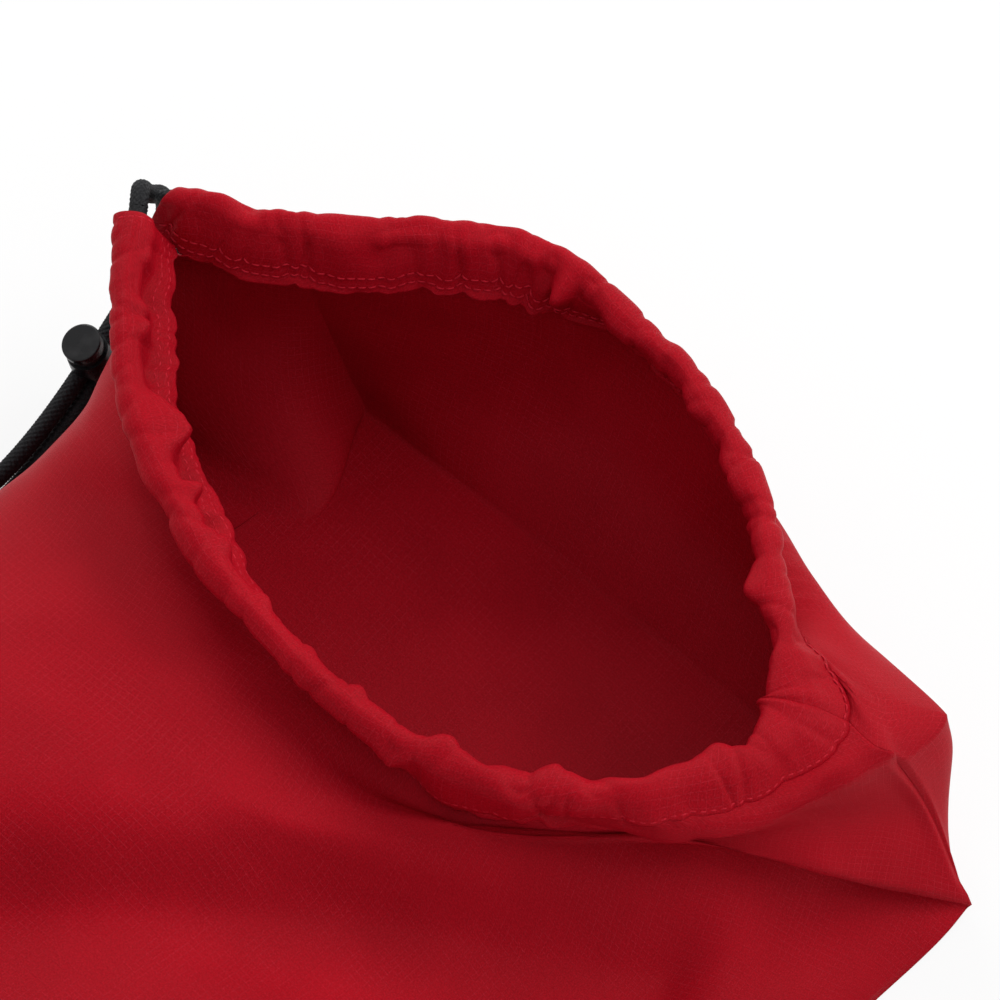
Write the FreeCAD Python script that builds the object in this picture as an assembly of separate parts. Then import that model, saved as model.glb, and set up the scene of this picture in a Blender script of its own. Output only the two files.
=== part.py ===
import FreeCAD, Part
import math
import os

# Drawstring rope bag in ripstop nylon, lying on its back with its mouth held open.
# The frame: +Y runs along the bag towards the mouth, +Z is up, the bag lies on Z = 0.
# The origin is at the middle of the bag's footprint. All sizes are in millimetres.

# ---- bag cloth -------------------------------------------------------------------
WALL = 1.2                 # thickness of a panel with its coating and seam allowance
BASE_WIDTH = 290.0         # flat width at the base
BASE_Y = -159.7            # the base seam
FOLD_LEFT = (-114.0, 142.0)    # ends of the fold across the back panel
FOLD_RIGHT = (119.0, 156.0)
DOME_LOW = 45.0            # height of the front panel a third of the way up
DOME_LOW_Y = -60.0
DOME_HIGH = 68.0           # height of the front panel near the mouth
DOME_HIGH_Y = 10.0
DOME_POWER = 2.4           # fullness of the arch: higher is flatter on top
DOME_STEPS = 8
SHOULDER = [(-114.0, 121.0, 19.0), (-103.0, 86.0, 42.0), (-76.0, 52.0, 59.0), (-25.0, 38.0, 64.0),
            (30.0, 40.0, 62.0), (74.0, 70.0, 50.0), (103.0, 116.0, 28.0)]
SHOULDER_CORE = (-20.0, 120.0, -40.0)

# ---- mouth: its rim lies in one plane, tilted towards the back and the right -------
RIM_HEIGHT = 60.0          # height of the rim plane at the back of the mouth
RIM_BACK = (-29.0, 187.0)
RIM_RISE = 0.11            # rise of the plane per millimetre towards the base
RIM_LEAN = 0.055           # rise of the plane per millimetre towards the left
CASING_HEIGHT = 16.0
CASING_THICK = 7.6
CASING_ABOVE_CORD = 5.0    # from the cord's centre to the folded edge
CASING_TOP_ROUND = 3.4     # at the folded edge
CASING_FOOT_ROUND = 0.8    # where the stitching holds it to the panel
CASING_OVERHANG = 3.0      # casing past the end of the cord's held stretch
TUNNEL_CLEARANCE = 0.2

# ---- drawcord ----------------------------------------------------------------------
CORD = 4.8                 # diameter
CORD_GAP = 0.1             # between the two cords where they lie together

# ---- bindings and base loop ----------------------------------------------------------
BINDING_WIDTH = 8.0
BINDING_THICK = 0.6
BINDING_INSET = 7.0        # from the side fold to the binding's outer edge
BINDING_START = 60.0       # from the base seam to the start of the side bindings
BINDING_END = 30.0         # from the fold across the back to their end
BASE_BINDING_DEPTH = 3.0
BASE_BINDING_HEIGHT = 3.2
BASE_BINDING_ROUND = 1.2
WEBBING_WIDTH = 20.0
WEBBING_THICK = 1.6
LOOP_REACH = 26.0          # from the base binding to the centre of the loop's eye
LOOP_EYE_RADIUS = 4.4
LEG_PARTING = 0.2          # between the loop's two legs at the base binding

# ---- cord lock -----------------------------------------------------------------------
LOCK_FOOT = (-130.3, 105.5, 5.2)      # centre of the barrel's closed end
LOCK_AXIS = (-0.133, -0.255, 0.958)   # towards the button
BARREL_LENGTH = 22.0
BARREL_FOOT_RADIUS = 5.3
BARREL_BELLY_RADIUS = 6.2
BARREL_TOP_RADIUS = 5.4
BARREL_FLOOR = 1.4
BARREL_EDGE = 0.6
PLUNGER_RADIUS = 4.7
PLUNGER_CLEARANCE = 0.075  # radial
PLUNGER_TRAVEL = 2.2
TRAVEL_SPARE = 0.2         # left between the button and the barrel when pressed
BUTTON_RADIUS = 5.15
BUTTON_THICK = 2.4
BUTTON_EDGE = 0.5
BORE_CENTRE = 13.9         # of the cord bore, from the barrel's closed end
BORE_CLEARANCE = 0.1       # between a cord and the bore
CORDS_ACROSS = 2.4         # offset of one cord from the other across the barrel
SPRING_RADIUS = 2.6        # to the wire's centre
SPRING_WIRE = 0.6
SPRING_TURNS = 4
SPRING_STEPS = 12          # bends per turn of the wire
SPRING_POCKET_RADIUS = 3.3
SPRING_POCKET_DEPTH = 2.4
PLUNGER_FOOT = 5.4         # of the plunger's lower end, from the barrel's closed end
SEAT_CLEARANCE = 0.05      # under and over the spring
BORE_CORNER = 2.3          # rounding of the cord bore

# ---- knot on the tails -----------------------------------------------------------------
KNOT_LENGTH = 14.0
KNOT_RADIUS = 6.2
KNOT_FACE_RADIUS = 5.2
KNOT_SPREAD = 5.2          # between the two cords' centres at the knot
KNOT_STUB = 9.0
KNOT_APPROACH = 10.0       # straight run of both tails into the knot
TAIL_FIRST_RUN = 5.0       # straight out of the casing
KNOT_FACE = (-141.0, -42.0)    # middle of the face that the tails run into


def vec(point):
    return FreeCAD.Vector(*point)


def unit(vector):
    return vec(vector) / vec(vector).Length


Z_UP = FreeCAD.Vector(0, 0, 1)
RIM_NORMAL = unit((RIM_LEAN, RIM_RISE, 1.0))
LOCK_UP = unit(LOCK_AXIS)
LOCK_CORD = unit((0.22, -0.95, -0.2227))     # along the cords, away from the bag's mouth
LOCK_ACROSS = LOCK_UP.cross(LOCK_CORD)
CORD_PITCH = CORD + CORD_GAP
CORDS_ALONG = math.sqrt(CORD_PITCH ** 2 - CORDS_ACROSS ** 2)
MOUTH_CENTRE = (-28.0, 125.0)

# The cord's route round the mouth, seen from above, from one casing end to the other.
RIM_FRONT = [(-132.0, 118.0), (-116.0, 101.0), (-92.0, 80.0), (-62.0, 65.0), (-28.0, 58.0), (8.0, 56.0),
             (38.0, 62.0), (59.0, 81.0), (70.0, 106.0), (76.0, 132.0)]
RIM_REAR = [(68.0, 151.0), (46.0, 166.0), (22.0, 178.0), (-6.0, 187.0), (-34.0, 190.0), (-60.0, 184.0),
            (-80.0, 167.0), (-96.0, 150.0), (-110.0, 136.5), (-124.5, 129.0)]
SEAM_TOP = (-128.2, 123.7)     # top of the left side seam, between the two casing ends

# The tails' free points between the casing and the lock, and from the lock to the knot.
TAIL_FRONT_DROP = [(-138.0, 124.4, 69.6), (-138.9, 127.4, 61.5), (-140.6, 134.0, 53.0), (-142.0, 135.0, 38.0)]
TAIL_REAR_DROP = [(-132.6, 126.2, 68.6), (-133.8, 129.2, 60.5), (-134.2, 138.5, 53.0), (-135.0, 141.0, 35.0)]
TAIL_FRONT_LAID = [(-133.4, 38.0, 4.6), (-135.6, 10.0, 2.4), (-140.2, -16.0, 2.4)]
TAIL_REAR_LAID = [(-127.8, 41.0, 2.4), (-130.1, 11.0, 2.4), (-134.6, -15.0, 2.4)]
LOCK_RUN = (-24.0, 34.0)       # straight stretch of both cords through the lock, from its bore


def rim_z(x, y, depth=0.0):
    """Height of the rim plane, or of a plane that lies depth below it along its normal."""
    drop = depth / RIM_NORMAL.z
    return RIM_HEIGHT + RIM_RISE * (RIM_BACK[1] - y) - RIM_LEAN * (x - RIM_BACK[0]) - drop


def on_rim(point, depth=0.0):
    return FreeCAD.Vector(point[0], point[1], rim_z(point[0], point[1], depth))


def save(name, shape):
    if not shape.isValid():
        print("not valid:", name)
    shape.exportStep("parts/" + name + ".step")


# ---- cords -----------------------------------------------------------------------------

def rounded_route(name, points, diameter):
    """Straight runs joined by tangent arcs, each as large as its two runs allow."""
    edges = []
    radii = []
    start = points[0]
    for before, corner, after in zip(points, points[1:], points[2:]):
        run_in = corner - before
        run_out = after - corner
        turn = run_in.getAngle(run_out)
        reach = 0.45 * min(run_in.Length, run_out.Length)
        radius = reach / math.tan(turn / 2)
        radii.append(radius)
        arc_start = corner - unit(run_in) * reach
        arc_end = corner + unit(run_out) * reach
        to_centre = unit(unit(run_out) - unit(run_in))
        middle = corner + to_centre * (radius / math.cos(turn / 2) - radius)
        edges.append(Part.LineSegment(start, arc_start).toShape())
        edges.append(Part.Arc(arc_start, middle, arc_end).toShape())
        start = arc_end
    edges.append(Part.LineSegment(start, points[-1]).toShape())
    print(name, "radii in diameters:", [round(radius / diameter, 1) for radius in radii])
    return Part.Wire(edges)


def sweep(path, profile, normal=None):
    """Sweep a closed profile wire along a path; a normal keeps the profile upright to a plane."""
    maker = Part.BRepOffsetAPI.MakePipeShell(path)
    if normal is not None:
        maker.setBiNormalMode(normal)
    maker.add(profile)
    maker.build()
    maker.makeSolid()
    return Part.Solid(maker.shape()) if maker.shape().ShapeType == "Shell" else maker.shape()


def tube(name, points, diameter):
    path = rounded_route(name, points, diameter)
    section = Part.Wire(Part.Circle(points[0], points[1] - points[0], diameter / 2).toShape())
    solid = sweep(path, section)
    expected = math.pi * diameter ** 2 / 4 * path.Length
    print(name, "length", round(path.Length, 1), "volume ratio", round(solid.Volume / expected, 4))
    return solid


def lock_point(along, across=0.0, up=0.0):
    """A point from the middle of the lock's cord bore: along the cords, across them, and up."""
    centre = vec(LOCK_FOOT) + LOCK_UP * BORE_CENTRE
    return centre + LOCK_CORD * along + LOCK_ACROSS * across + LOCK_UP * up


def casing_exits():
    """Ends of the cord's held stretch, and the directions in which its tails leave."""
    front = on_rim(RIM_FRONT[0])
    rear = on_rim(RIM_REAR[-1])
    front_out = unit(front - on_rim(RIM_FRONT[1]))
    rear_out = unit(rear - on_rim(RIM_REAR[-2]))
    return front, front_out, rear, rear_out


# ---- cloth -------------------------------------------------------------------------------

def strip(points, cores):
    """Thin section of a panel: a curve, and the same curve moved out by the wall, away from its cores."""
    inner = [vec(point) for point in points]
    outer = [point + unit(point - vec(core)) * WALL for point, core in zip(inner, cores)]
    return section_edges(inner, outer)


def section_edges(inner, outer):
    """The four edges of a thin section, in order round it."""
    inside = Part.BSplineCurve()
    inside.interpolate(inner)
    outside = Part.BSplineCurve()
    outside.interpolate(list(reversed(outer)))
    return [inside.toShape(), Part.LineSegment(inner[-1], outer[-1]).toShape(),
            outside.toShape(), Part.LineSegment(outer[0], inner[0]).toShape()]


def panel(sections):
    """Solid of cloth ruled from each section to the next."""
    faces = [Part.Face(Part.Wire(sections[0])), Part.Face(Part.Wire(sections[-1]))]
    for low, high in zip(sections, sections[1:]):
        faces += [Part.makeRuledSurface(edge, match, 1) for edge, match in zip(low, high)]
    shell = Part.Shell(faces)
    shell.sewShape()
    return Part.Solid(shell)


def side_fold(y, fold):
    """Where the side fold lies on the floor, at a distance along the bag."""
    side = math.copysign(BASE_WIDTH / 2, fold[0])
    return side + (fold[0] - side) * (y - BASE_Y) / (fold[1] - BASE_Y)


def dome_row(y, height):
    """Section of the front panel between the two side folds, arched to a height."""
    left = side_fold(y, FOLD_LEFT)
    right = side_fold(y, FOLD_RIGHT)
    points = []
    for step in range(DOME_STEPS + 1):
        share = 2.0 * step / DOME_STEPS - 1.0
        x = (left + right) / 2 + share * (right - left) / 2
        points.append((x, y, WALL + height * (1.0 - abs(share) ** DOME_POWER)))
    return strip(points, [(x, y, -1.0) for x, y, z in points])


def rim_row(points):
    """Section of a panel along the casing's foot, in the plane of the casing's lower face."""
    depth = CASING_HEIGHT - CASING_ABOVE_CORD
    inner = []
    outer = []
    for x, y in points:
        away = unit((x - MOUTH_CENTRE[0], y - MOUTH_CENTRE[1], 0.0)) * (WALL / 2)
        inner.append(on_rim((x - away.x, y - away.y), depth))
        outer.append(on_rim((x + away.x, y + away.y), depth))
    return section_edges(inner, outer)


def midpoints(route):
    return [((a[0] + b[0]) / 2, (a[1] + b[1]) / 2) for a, b in zip(route, route[1:])]


def seam_top_right():
    """Where the right side seam meets the casing: halfway between its front and its rear route."""
    return midpoints([RIM_FRONT[-1], RIM_REAR[0]])[0]


def front_panel():
    shoulder = [(FOLD_LEFT[0], FOLD_LEFT[1], WALL)] + SHOULDER + [(FOLD_RIGHT[0], FOLD_RIGHT[1], WALL)]
    return panel([dome_row(BASE_Y, 0.0), dome_row(DOME_LOW_Y, DOME_LOW), dome_row(DOME_HIGH_Y, DOME_HIGH),
                  strip(shoulder, [SHOULDER_CORE] * len(shoulder)),
                  rim_row([SEAM_TOP] + midpoints(RIM_FRONT) + [seam_top_right()])])


def back_panel():
    half = BASE_WIDTH / 2
    corners = [(-half, BASE_Y), (half, BASE_Y), FOLD_RIGHT, FOLD_LEFT, (-half, BASE_Y)]
    outline = Part.makePolygon([FreeCAD.Vector(x, y, 0) for x, y in corners])
    return Part.Face(outline).extrude(Z_UP * WALL)


def back_mouth_wall():
    """Mouth end of the back panel, turned up at the fold and bowed out to the casing."""
    fold = [FreeCAD.Vector(FOLD_LEFT[0] + (FOLD_RIGHT[0] - FOLD_LEFT[0]) * step / DOME_STEPS,
                           FOLD_LEFT[1] + (FOLD_RIGHT[1] - FOLD_LEFT[1]) * step / DOME_STEPS, WALL)
            for step in range(DOME_STEPS + 1)]
    foot = section_edges(fold, [point + FreeCAD.Vector(0, WALL, 0) for point in fold])
    rear = list(reversed(midpoints(RIM_REAR)))
    return panel([foot, rim_row([SEAM_TOP] + rear + [seam_top_right()])])


def seam_binding(fold, side):
    """Tape folded over the raw edges, lying inside along the side fold."""
    start = BASE_Y + BINDING_START
    end = fold[1] - BINDING_END
    corners = []
    for y, inset in ((start, BINDING_INSET), (end, BINDING_INSET), (end, BINDING_INSET + BINDING_WIDTH),
                     (start, BINDING_INSET + BINDING_WIDTH), (start, BINDING_INSET)):
        corners.append(FreeCAD.Vector(side_fold(y, fold) - side * inset, y, WALL))
    return Part.Face(Part.makePolygon(corners)).extrude(Z_UP * BINDING_THICK)


def base_binding():
    bar = Part.makeBox(BASE_WIDTH, BASE_BINDING_DEPTH, BASE_BINDING_HEIGHT,
                       FreeCAD.Vector(-BASE_WIDTH / 2, BASE_Y - BASE_BINDING_DEPTH, 0))
    rear_edges = [edge for edge in bar.Edges
                  if edge.BoundBox.YMax < BASE_Y - BASE_BINDING_DEPTH / 2 and edge.BoundBox.XLength > BASE_WIDTH / 2]
    return bar.makeFillet(BASE_BINDING_ROUND, rear_edges)


def tangent_point(point, centre, radius, side):
    """Where a line from a point touches a circle that faces along X; side 1 is the upper touch."""
    away = point - centre
    heading = math.atan2(away.z, away.y) + side * math.acos(radius / away.Length)
    return centre + FreeCAD.Vector(0, radius * math.cos(heading), radius * math.sin(heading))


def teardrop(radius, leg_low, leg_high):
    """Outline of the loop seen from the side: an eye whose two legs run to the base binding."""
    leg_y = BASE_Y - BASE_BINDING_DEPTH
    eye = FreeCAD.Vector(-WEBBING_WIDTH / 2, leg_y - LOOP_REACH, LOOP_EYE_RADIUS + WEBBING_THICK)
    low = FreeCAD.Vector(-WEBBING_WIDTH / 2, leg_y, leg_low)
    high = FreeCAD.Vector(-WEBBING_WIDTH / 2, leg_y, leg_high)
    touch_low = tangent_point(low, eye, radius, -1)
    touch_high = tangent_point(high, eye, radius, 1)
    far = eye - FreeCAD.Vector(0, radius, 0)
    outline = Part.Wire([Part.Arc(touch_high, far, touch_low).toShape(), Part.LineSegment(touch_low, low).toShape(),
                         Part.LineSegment(low, high).toShape(), Part.LineSegment(high, touch_high).toShape()])
    return Part.Face(outline).extrude(FreeCAD.Vector(WEBBING_WIDTH, 0, 0))


def base_loop():
    outside = teardrop(LOOP_EYE_RADIUS + WEBBING_THICK, 0.0, 2 * WEBBING_THICK)
    inside = teardrop(LOOP_EYE_RADIUS, WEBBING_THICK, WEBBING_THICK + LEG_PARTING)
    return outside.cut(inside)


# ---- casing and drawcord ------------------------------------------------------------------

def rim_route(overhang=0.0):
    points = [on_rim(point) for point in RIM_FRONT + RIM_REAR]
    points[0] = points[0] + unit(points[0] - points[1]) * overhang
    points[-1] = points[-1] + unit(points[-1] - points[-2]) * overhang
    return points


def casing_profile(path_start, path_next):
    """Section of the casing: flat at the stitched foot, rounded at the folded edge."""
    across = unit(RIM_NORMAL.cross(path_next - path_start))
    half = CASING_THICK / 2
    top = CASING_ABOVE_CORD
    foot = CASING_ABOVE_CORD - CASING_HEIGHT

    def place(sideways, up):
        return path_start + across * sideways + RIM_NORMAL * up

    def rounded_corner(side, level, radius, inward):
        """Three points of a corner's arc, from the side face to the level face."""
        slant = radius * (1 - math.sqrt(0.5))
        return (place(side * half, level + inward * radius), place(side * (half - slant), level + inward * slant),
                place(side * (half - radius), level))

    top_left = rounded_corner(-1, top, CASING_TOP_ROUND, -1)
    top_right = rounded_corner(1, top, CASING_TOP_ROUND, -1)
    foot_right = rounded_corner(1, foot, CASING_FOOT_ROUND, 1)
    foot_left = rounded_corner(-1, foot, CASING_FOOT_ROUND, 1)
    return Part.Wire([Part.Arc(*top_left).toShape(), Part.LineSegment(top_left[2], top_right[2]).toShape(),
                      Part.Arc(*reversed(top_right)).toShape(),
                      Part.LineSegment(top_right[0], foot_right[0]).toShape(),
                      Part.Arc(*foot_right).toShape(), Part.LineSegment(foot_right[2], foot_left[2]).toShape(),
                      Part.Arc(*reversed(foot_left)).toShape(),
                      Part.LineSegment(foot_left[0], top_left[0]).toShape()])


def casings():
    """The casing round the mouth with its cord tunnel, split at the two side seams."""
    points = rim_route(CASING_OVERHANG)
    path = rounded_route("casing", points, CORD)
    band = sweep(path, casing_profile(points[0], points[1]), RIM_NORMAL)
    tunnel = Part.Wire(Part.Circle(points[0], points[1] - points[0], CORD / 2 + TUNNEL_CLEARANCE).toShape())
    band = band.cut(sweep(path, tunnel))
    below = RIM_NORMAL * (BASE_WIDTH / 2)
    left = on_rim(SEAM_TOP) - below
    right = on_rim(seam_top_right()) - below
    reach = unit(right - left) * BASE_WIDTH
    depth = unit(RIM_NORMAL.cross(left - right)) * BASE_WIDTH
    corners = [left - reach, right + reach, right + reach + depth, left - reach + depth, left - reach]
    front_side = Part.Face(Part.makePolygon(corners)).extrude(RIM_NORMAL * BASE_WIDTH)
    return band.common(front_side), band.cut(front_side)


def tail_routes():
    """Points of the two tails, from the casing through the lock to the knot."""
    front, front_out, rear, rear_out = casing_exits()
    routes = []
    for start, out, drop, laid, side in ((front, front_out, TAIL_FRONT_DROP, TAIL_FRONT_LAID, -1),
                                         (rear, rear_out, TAIL_REAR_DROP, TAIL_REAR_LAID, 1)):
        straight = [lock_point(along, side * CORDS_ACROSS / 2, -side * CORDS_ALONG / 2) for along in LOCK_RUN]
        knot = FreeCAD.Vector(KNOT_FACE[0] + side * KNOT_SPREAD / 2, KNOT_FACE[1], KNOT_RADIUS)
        routes.append([start, start + out * TAIL_FIRST_RUN] + [vec(point) for point in drop] + straight
                      + [vec(point) for point in laid] + [knot + FreeCAD.Vector(0, KNOT_APPROACH, 0), knot])
    return routes


def tail_knot():
    """Overhand knot tied in both tails, with its two short ends."""
    centre = FreeCAD.Vector(KNOT_FACE[0], KNOT_FACE[1], KNOT_RADIUS)
    face = centre + FreeCAD.Vector(0, 0, KNOT_FACE_RADIUS)
    middle = centre + FreeCAD.Vector(0, -KNOT_LENGTH / 2, KNOT_RADIUS)
    end = centre + FreeCAD.Vector(0, -KNOT_LENGTH, 0)
    profile = Part.Wire([Part.LineSegment(centre, face).toShape(),
                         Part.Arc(face, middle, end + FreeCAD.Vector(0, 0, KNOT_FACE_RADIUS)).toShape(),
                         Part.LineSegment(end + FreeCAD.Vector(0, 0, KNOT_FACE_RADIUS), end).toShape(),
                         Part.LineSegment(end, centre).toShape()])
    knot = Part.Face(profile).revolve(centre, FreeCAD.Vector(0, 1, 0), 360)
    for side in (-1, 1):
        start = end + FreeCAD.Vector(side * KNOT_SPREAD / 2, 0, 0)
        knot = knot.fuse(Part.makeCylinder(CORD / 2, KNOT_STUB, start, FreeCAD.Vector(0, -1, 0)))
    return knot.removeSplitter()


# ---- cord lock, modelled upright from its closed end and then placed ----------------------

def placed_lock(shape):
    """Stand an upright piece on the lock's foot: X across the cords, Z towards the button."""
    back = LOCK_UP.cross(LOCK_ACROSS)
    matrix = FreeCAD.Matrix(LOCK_ACROSS.x, back.x, LOCK_UP.x, LOCK_FOOT[0],
                            LOCK_ACROSS.y, back.y, LOCK_UP.y, LOCK_FOOT[1],
                            LOCK_ACROSS.z, back.z, LOCK_UP.z, LOCK_FOOT[2], 0, 0, 0, 1)
    moved = shape.copy()
    moved.Placement = FreeCAD.Placement(matrix) * shape.Placement
    return moved


def cord_bore(extra=0.0):
    """Rounded slot across the lock that takes both cords; extra raises its top."""
    half_width = (CORD + CORDS_ACROSS) / 2 + BORE_CLEARANCE
    half_height = (CORD + CORDS_ALONG) / 2 + BORE_CLEARANCE
    reach = 2 * BARREL_BELLY_RADIUS
    corner = FreeCAD.Vector(-half_width, -reach, BORE_CENTRE - half_height)
    slot = Part.makeBox(2 * half_width, 2 * reach, 2 * half_height + extra, corner)
    long_edges = [edge for edge in slot.Edges if edge.BoundBox.YLength > reach]
    return slot.makeFillet(BORE_CORNER, long_edges)


def lock_barrel():
    """Barrel with a belly at the cord bore, a closed foot and a bore for the plunger."""
    foot = FreeCAD.Vector(0, 0, 0)
    foot_edge = FreeCAD.Vector(BARREL_FOOT_RADIUS - BARREL_EDGE, 0, 0)
    side_low = FreeCAD.Vector(BARREL_FOOT_RADIUS, 0, BARREL_EDGE)
    belly = FreeCAD.Vector(BARREL_BELLY_RADIUS, 0, BORE_CENTRE)
    side_high = FreeCAD.Vector(BARREL_TOP_RADIUS, 0, BARREL_LENGTH)
    top = FreeCAD.Vector(0, 0, BARREL_LENGTH)
    profile = Part.Wire([Part.LineSegment(foot, foot_edge).toShape(),
                         Part.LineSegment(foot_edge, side_low).toShape(),
                         Part.Arc(side_low, belly, side_high).toShape(),
                         Part.LineSegment(side_high, top).toShape(), Part.LineSegment(top, foot).toShape()])
    body = Part.Face(profile).revolve(foot, Z_UP, 360)
    bore = Part.makeCylinder(PLUNGER_RADIUS + PLUNGER_CLEARANCE, BARREL_LENGTH,
                             FreeCAD.Vector(0, 0, BARREL_FLOOR))
    return placed_lock(body.cut(bore).cut(cord_bore()))


def lock_plunger():
    """Plunger with its button, held up by the spring so that its bore pinches the cords."""
    button_foot = BARREL_LENGTH + PLUNGER_TRAVEL + TRAVEL_SPARE
    shaft = Part.makeCylinder(PLUNGER_RADIUS, button_foot - PLUNGER_FOOT, FreeCAD.Vector(0, 0, PLUNGER_FOOT))
    button = Part.makeCylinder(BUTTON_RADIUS, BUTTON_THICK, FreeCAD.Vector(0, 0, button_foot))
    rims = [edge for edge in button.Edges if edge.Closed]
    button = button.makeFillet(BUTTON_EDGE, rims)
    pocket = Part.makeCylinder(SPRING_POCKET_RADIUS, SPRING_POCKET_DEPTH, FreeCAD.Vector(0, 0, PLUNGER_FOOT))
    return placed_lock(shaft.fuse(button).cut(pocket).cut(cord_bore(PLUNGER_TRAVEL + TRAVEL_SPARE)))


def lock_spring():
    low = BARREL_FLOOR + SEAT_CLEARANCE + SPRING_WIRE / 2
    high = PLUNGER_FOOT + SPRING_POCKET_DEPTH - SEAT_CLEARANCE - SPRING_WIRE / 2
    bends = SPRING_TURNS * SPRING_STEPS
    points = []
    for bend in range(bends + 1):
        heading = 2 * math.pi * bend / SPRING_STEPS
        points.append(FreeCAD.Vector(SPRING_RADIUS * math.cos(heading), SPRING_RADIUS * math.sin(heading),
                                     low + (high - low) * bend / bends))
    return placed_lock(tube("lock_spring", points, SPRING_WIRE))


def main():
    os.makedirs("parts", exist_ok=True)
    casing_front, casing_back = casings()
    tail_front, tail_rear = tail_routes()
    save("front_panel", front_panel())
    save("back_panel", back_panel())
    save("back_mouth_wall", back_mouth_wall())
    save("seam_binding_left", seam_binding(FOLD_LEFT, -1))
    save("seam_binding_right", seam_binding(FOLD_RIGHT, 1))
    save("base_binding", base_binding())
    save("base_loop", base_loop())
    save("casing_front", casing_front)
    save("casing_back", casing_back)
    save("drawcord", tube("drawcord", rim_route(), CORD))
    save("tail_front", tube("tail_front", tail_front, CORD))
    save("tail_back", tube("tail_back", tail_rear, CORD))
    save("tail_knot", tail_knot())
    save("lock_barrel", lock_barrel())
    save("lock_plunger", lock_plunger())
    save("lock_spring", lock_spring())


main()
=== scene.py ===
import math

import bmesh
import bpy
import numpy as np
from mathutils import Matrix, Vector


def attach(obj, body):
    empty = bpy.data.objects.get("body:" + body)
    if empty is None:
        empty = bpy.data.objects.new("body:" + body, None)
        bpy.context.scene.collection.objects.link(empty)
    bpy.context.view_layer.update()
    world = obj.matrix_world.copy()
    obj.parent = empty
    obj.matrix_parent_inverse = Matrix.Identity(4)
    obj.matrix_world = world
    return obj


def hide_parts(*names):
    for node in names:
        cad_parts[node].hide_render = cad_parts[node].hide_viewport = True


# Looks of the drawstring rope bag. Lengths are in millimetres until a mesh is made.
MM = 0.001

# ---- camera and light ----
CAMERA_AIM = (-43.0, 154.0, 0.0)
CAMERA_AZIMUTH = 46.0
CAMERA_ELEVATION = 60.0
CAMERA_DISTANCE = 2500.0
PICTURE_WIDTH = 246.9  # at the aim point
SENSOR = 36.0
CLIP = (0.05, 50.0)  # metres
WORLD_LEVEL = 0.575
WHITE = (1, 1, 1, 1)
FLOOR_GREY = (0.93, 0.93, 0.93, 1)
FLOOR_GLOW = 0.85  # share of the floor that shows plain white to the camera
FLOOR_HALF = 6000.0
FLOOR_DROP = 0.2  # of the floor below the bag
LAMP_TARGET = (0.0, 0.05, 0.0)
# Square lamps in metres and watts: name, place, size, power.
LAMPS = [("left_back", (-1.7, 0.8, 1.25), 0.8, 17.5), ("right_back", (0.3, 1.65, 1.2), 0.8, 14.0),
         ("right", (0.9, 1.25, 1.5), 0.9, 6.5)]

# ---- colours, weaves and grains ----
RIPSTOP_DARK = (0.270, 0.0014, 0.0065, 1)
RIPSTOP_PLAIN = (0.420, 0.0036, 0.0122, 1)
RIPSTOP_LINE = (0.66, 0.040, 0.070, 1)
THREAD_COLOURS = ((0.40, 0.007, 0.018, 1), (0.54, 0.014, 0.030, 1))
TAPE_COLOURS = ((0.30, 0.010, 0.022, 1), (0.38, 0.016, 0.030, 1))
WEBBING_COLOURS = ((0.004, 0.004, 0.005, 1), (0.020, 0.020, 0.022, 1))
CORD_COLOURS = ((0.003, 0.003, 0.004, 1), (0.016, 0.016, 0.018, 1))
PLASTIC_COLOURS = ((0.005, 0.005, 0.006, 1), (0.011, 0.011, 0.012, 1))
STEEL_COLOURS = ((0.45, 0.45, 0.47, 1), (0.62, 0.62, 0.64, 1))
RIPSTOP_PITCH = 2.0
RIPSTOP_LINE_EDGE = (0.95, 0.999)  # of the wave's height where a line starts and is full
RIPSTOP_WANDER = 0.35  # of the lines from straight
RIPSTOP_SHOWN = (0.06, 0.20)  # of the lines everywhere, and more in patches
RIPSTOP_MOTTLE = (0.35, 0.65)  # shares of the broad and the fine change of colour
RIPSTOP_SPECKS = 0.26
RIPSTOP_RELIEF = (0.7, 0.3)  # shares of the lines and of the threads
THREAD_PITCH = 0.4
TAPE_RIB_PITCH = 0.9
WEBBING_PITCH = (1.4, 1.1)  # across, along
PLASTIC_ROUGHNESS = (0.26, 0.42)

# ---- bag cloth ----
CLOTH_WIDTH = 290.0  # flat width of each panel
CLOTH_THICK = 0.3
BASE_Y = -159.7
BASE_TUCK = 1.6  # of the panels inside the base binding
COLUMN_STEPS = 34  # grid columns between two stations
UV_REACH = (8, 12)  # grid steps that smooth the cloth's coordinates: across, along
EDGE_STEPS = 8  # points to each grid row of an edge that another panel follows
SEAM_SINK = (-1.3, -0.6, -0.4)  # of the right side seam into its groove
SEAM_COLUMNS = 4  # grid columns that the groove takes up
SEAM_LOW = (4.0, 8.0)  # height where the groove starts, and its fade above that
SEAM_HIGH = (57.0, 6.0)  # height where it ends, and its fade below that

# ---- rim plane ----
RIM_HEIGHT = 60.0
RIM_BACK = (-29.0, 187.0)  # where the plane has that height
RIM_RISE = 0.11
RIM_LEAN = 0.055

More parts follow.
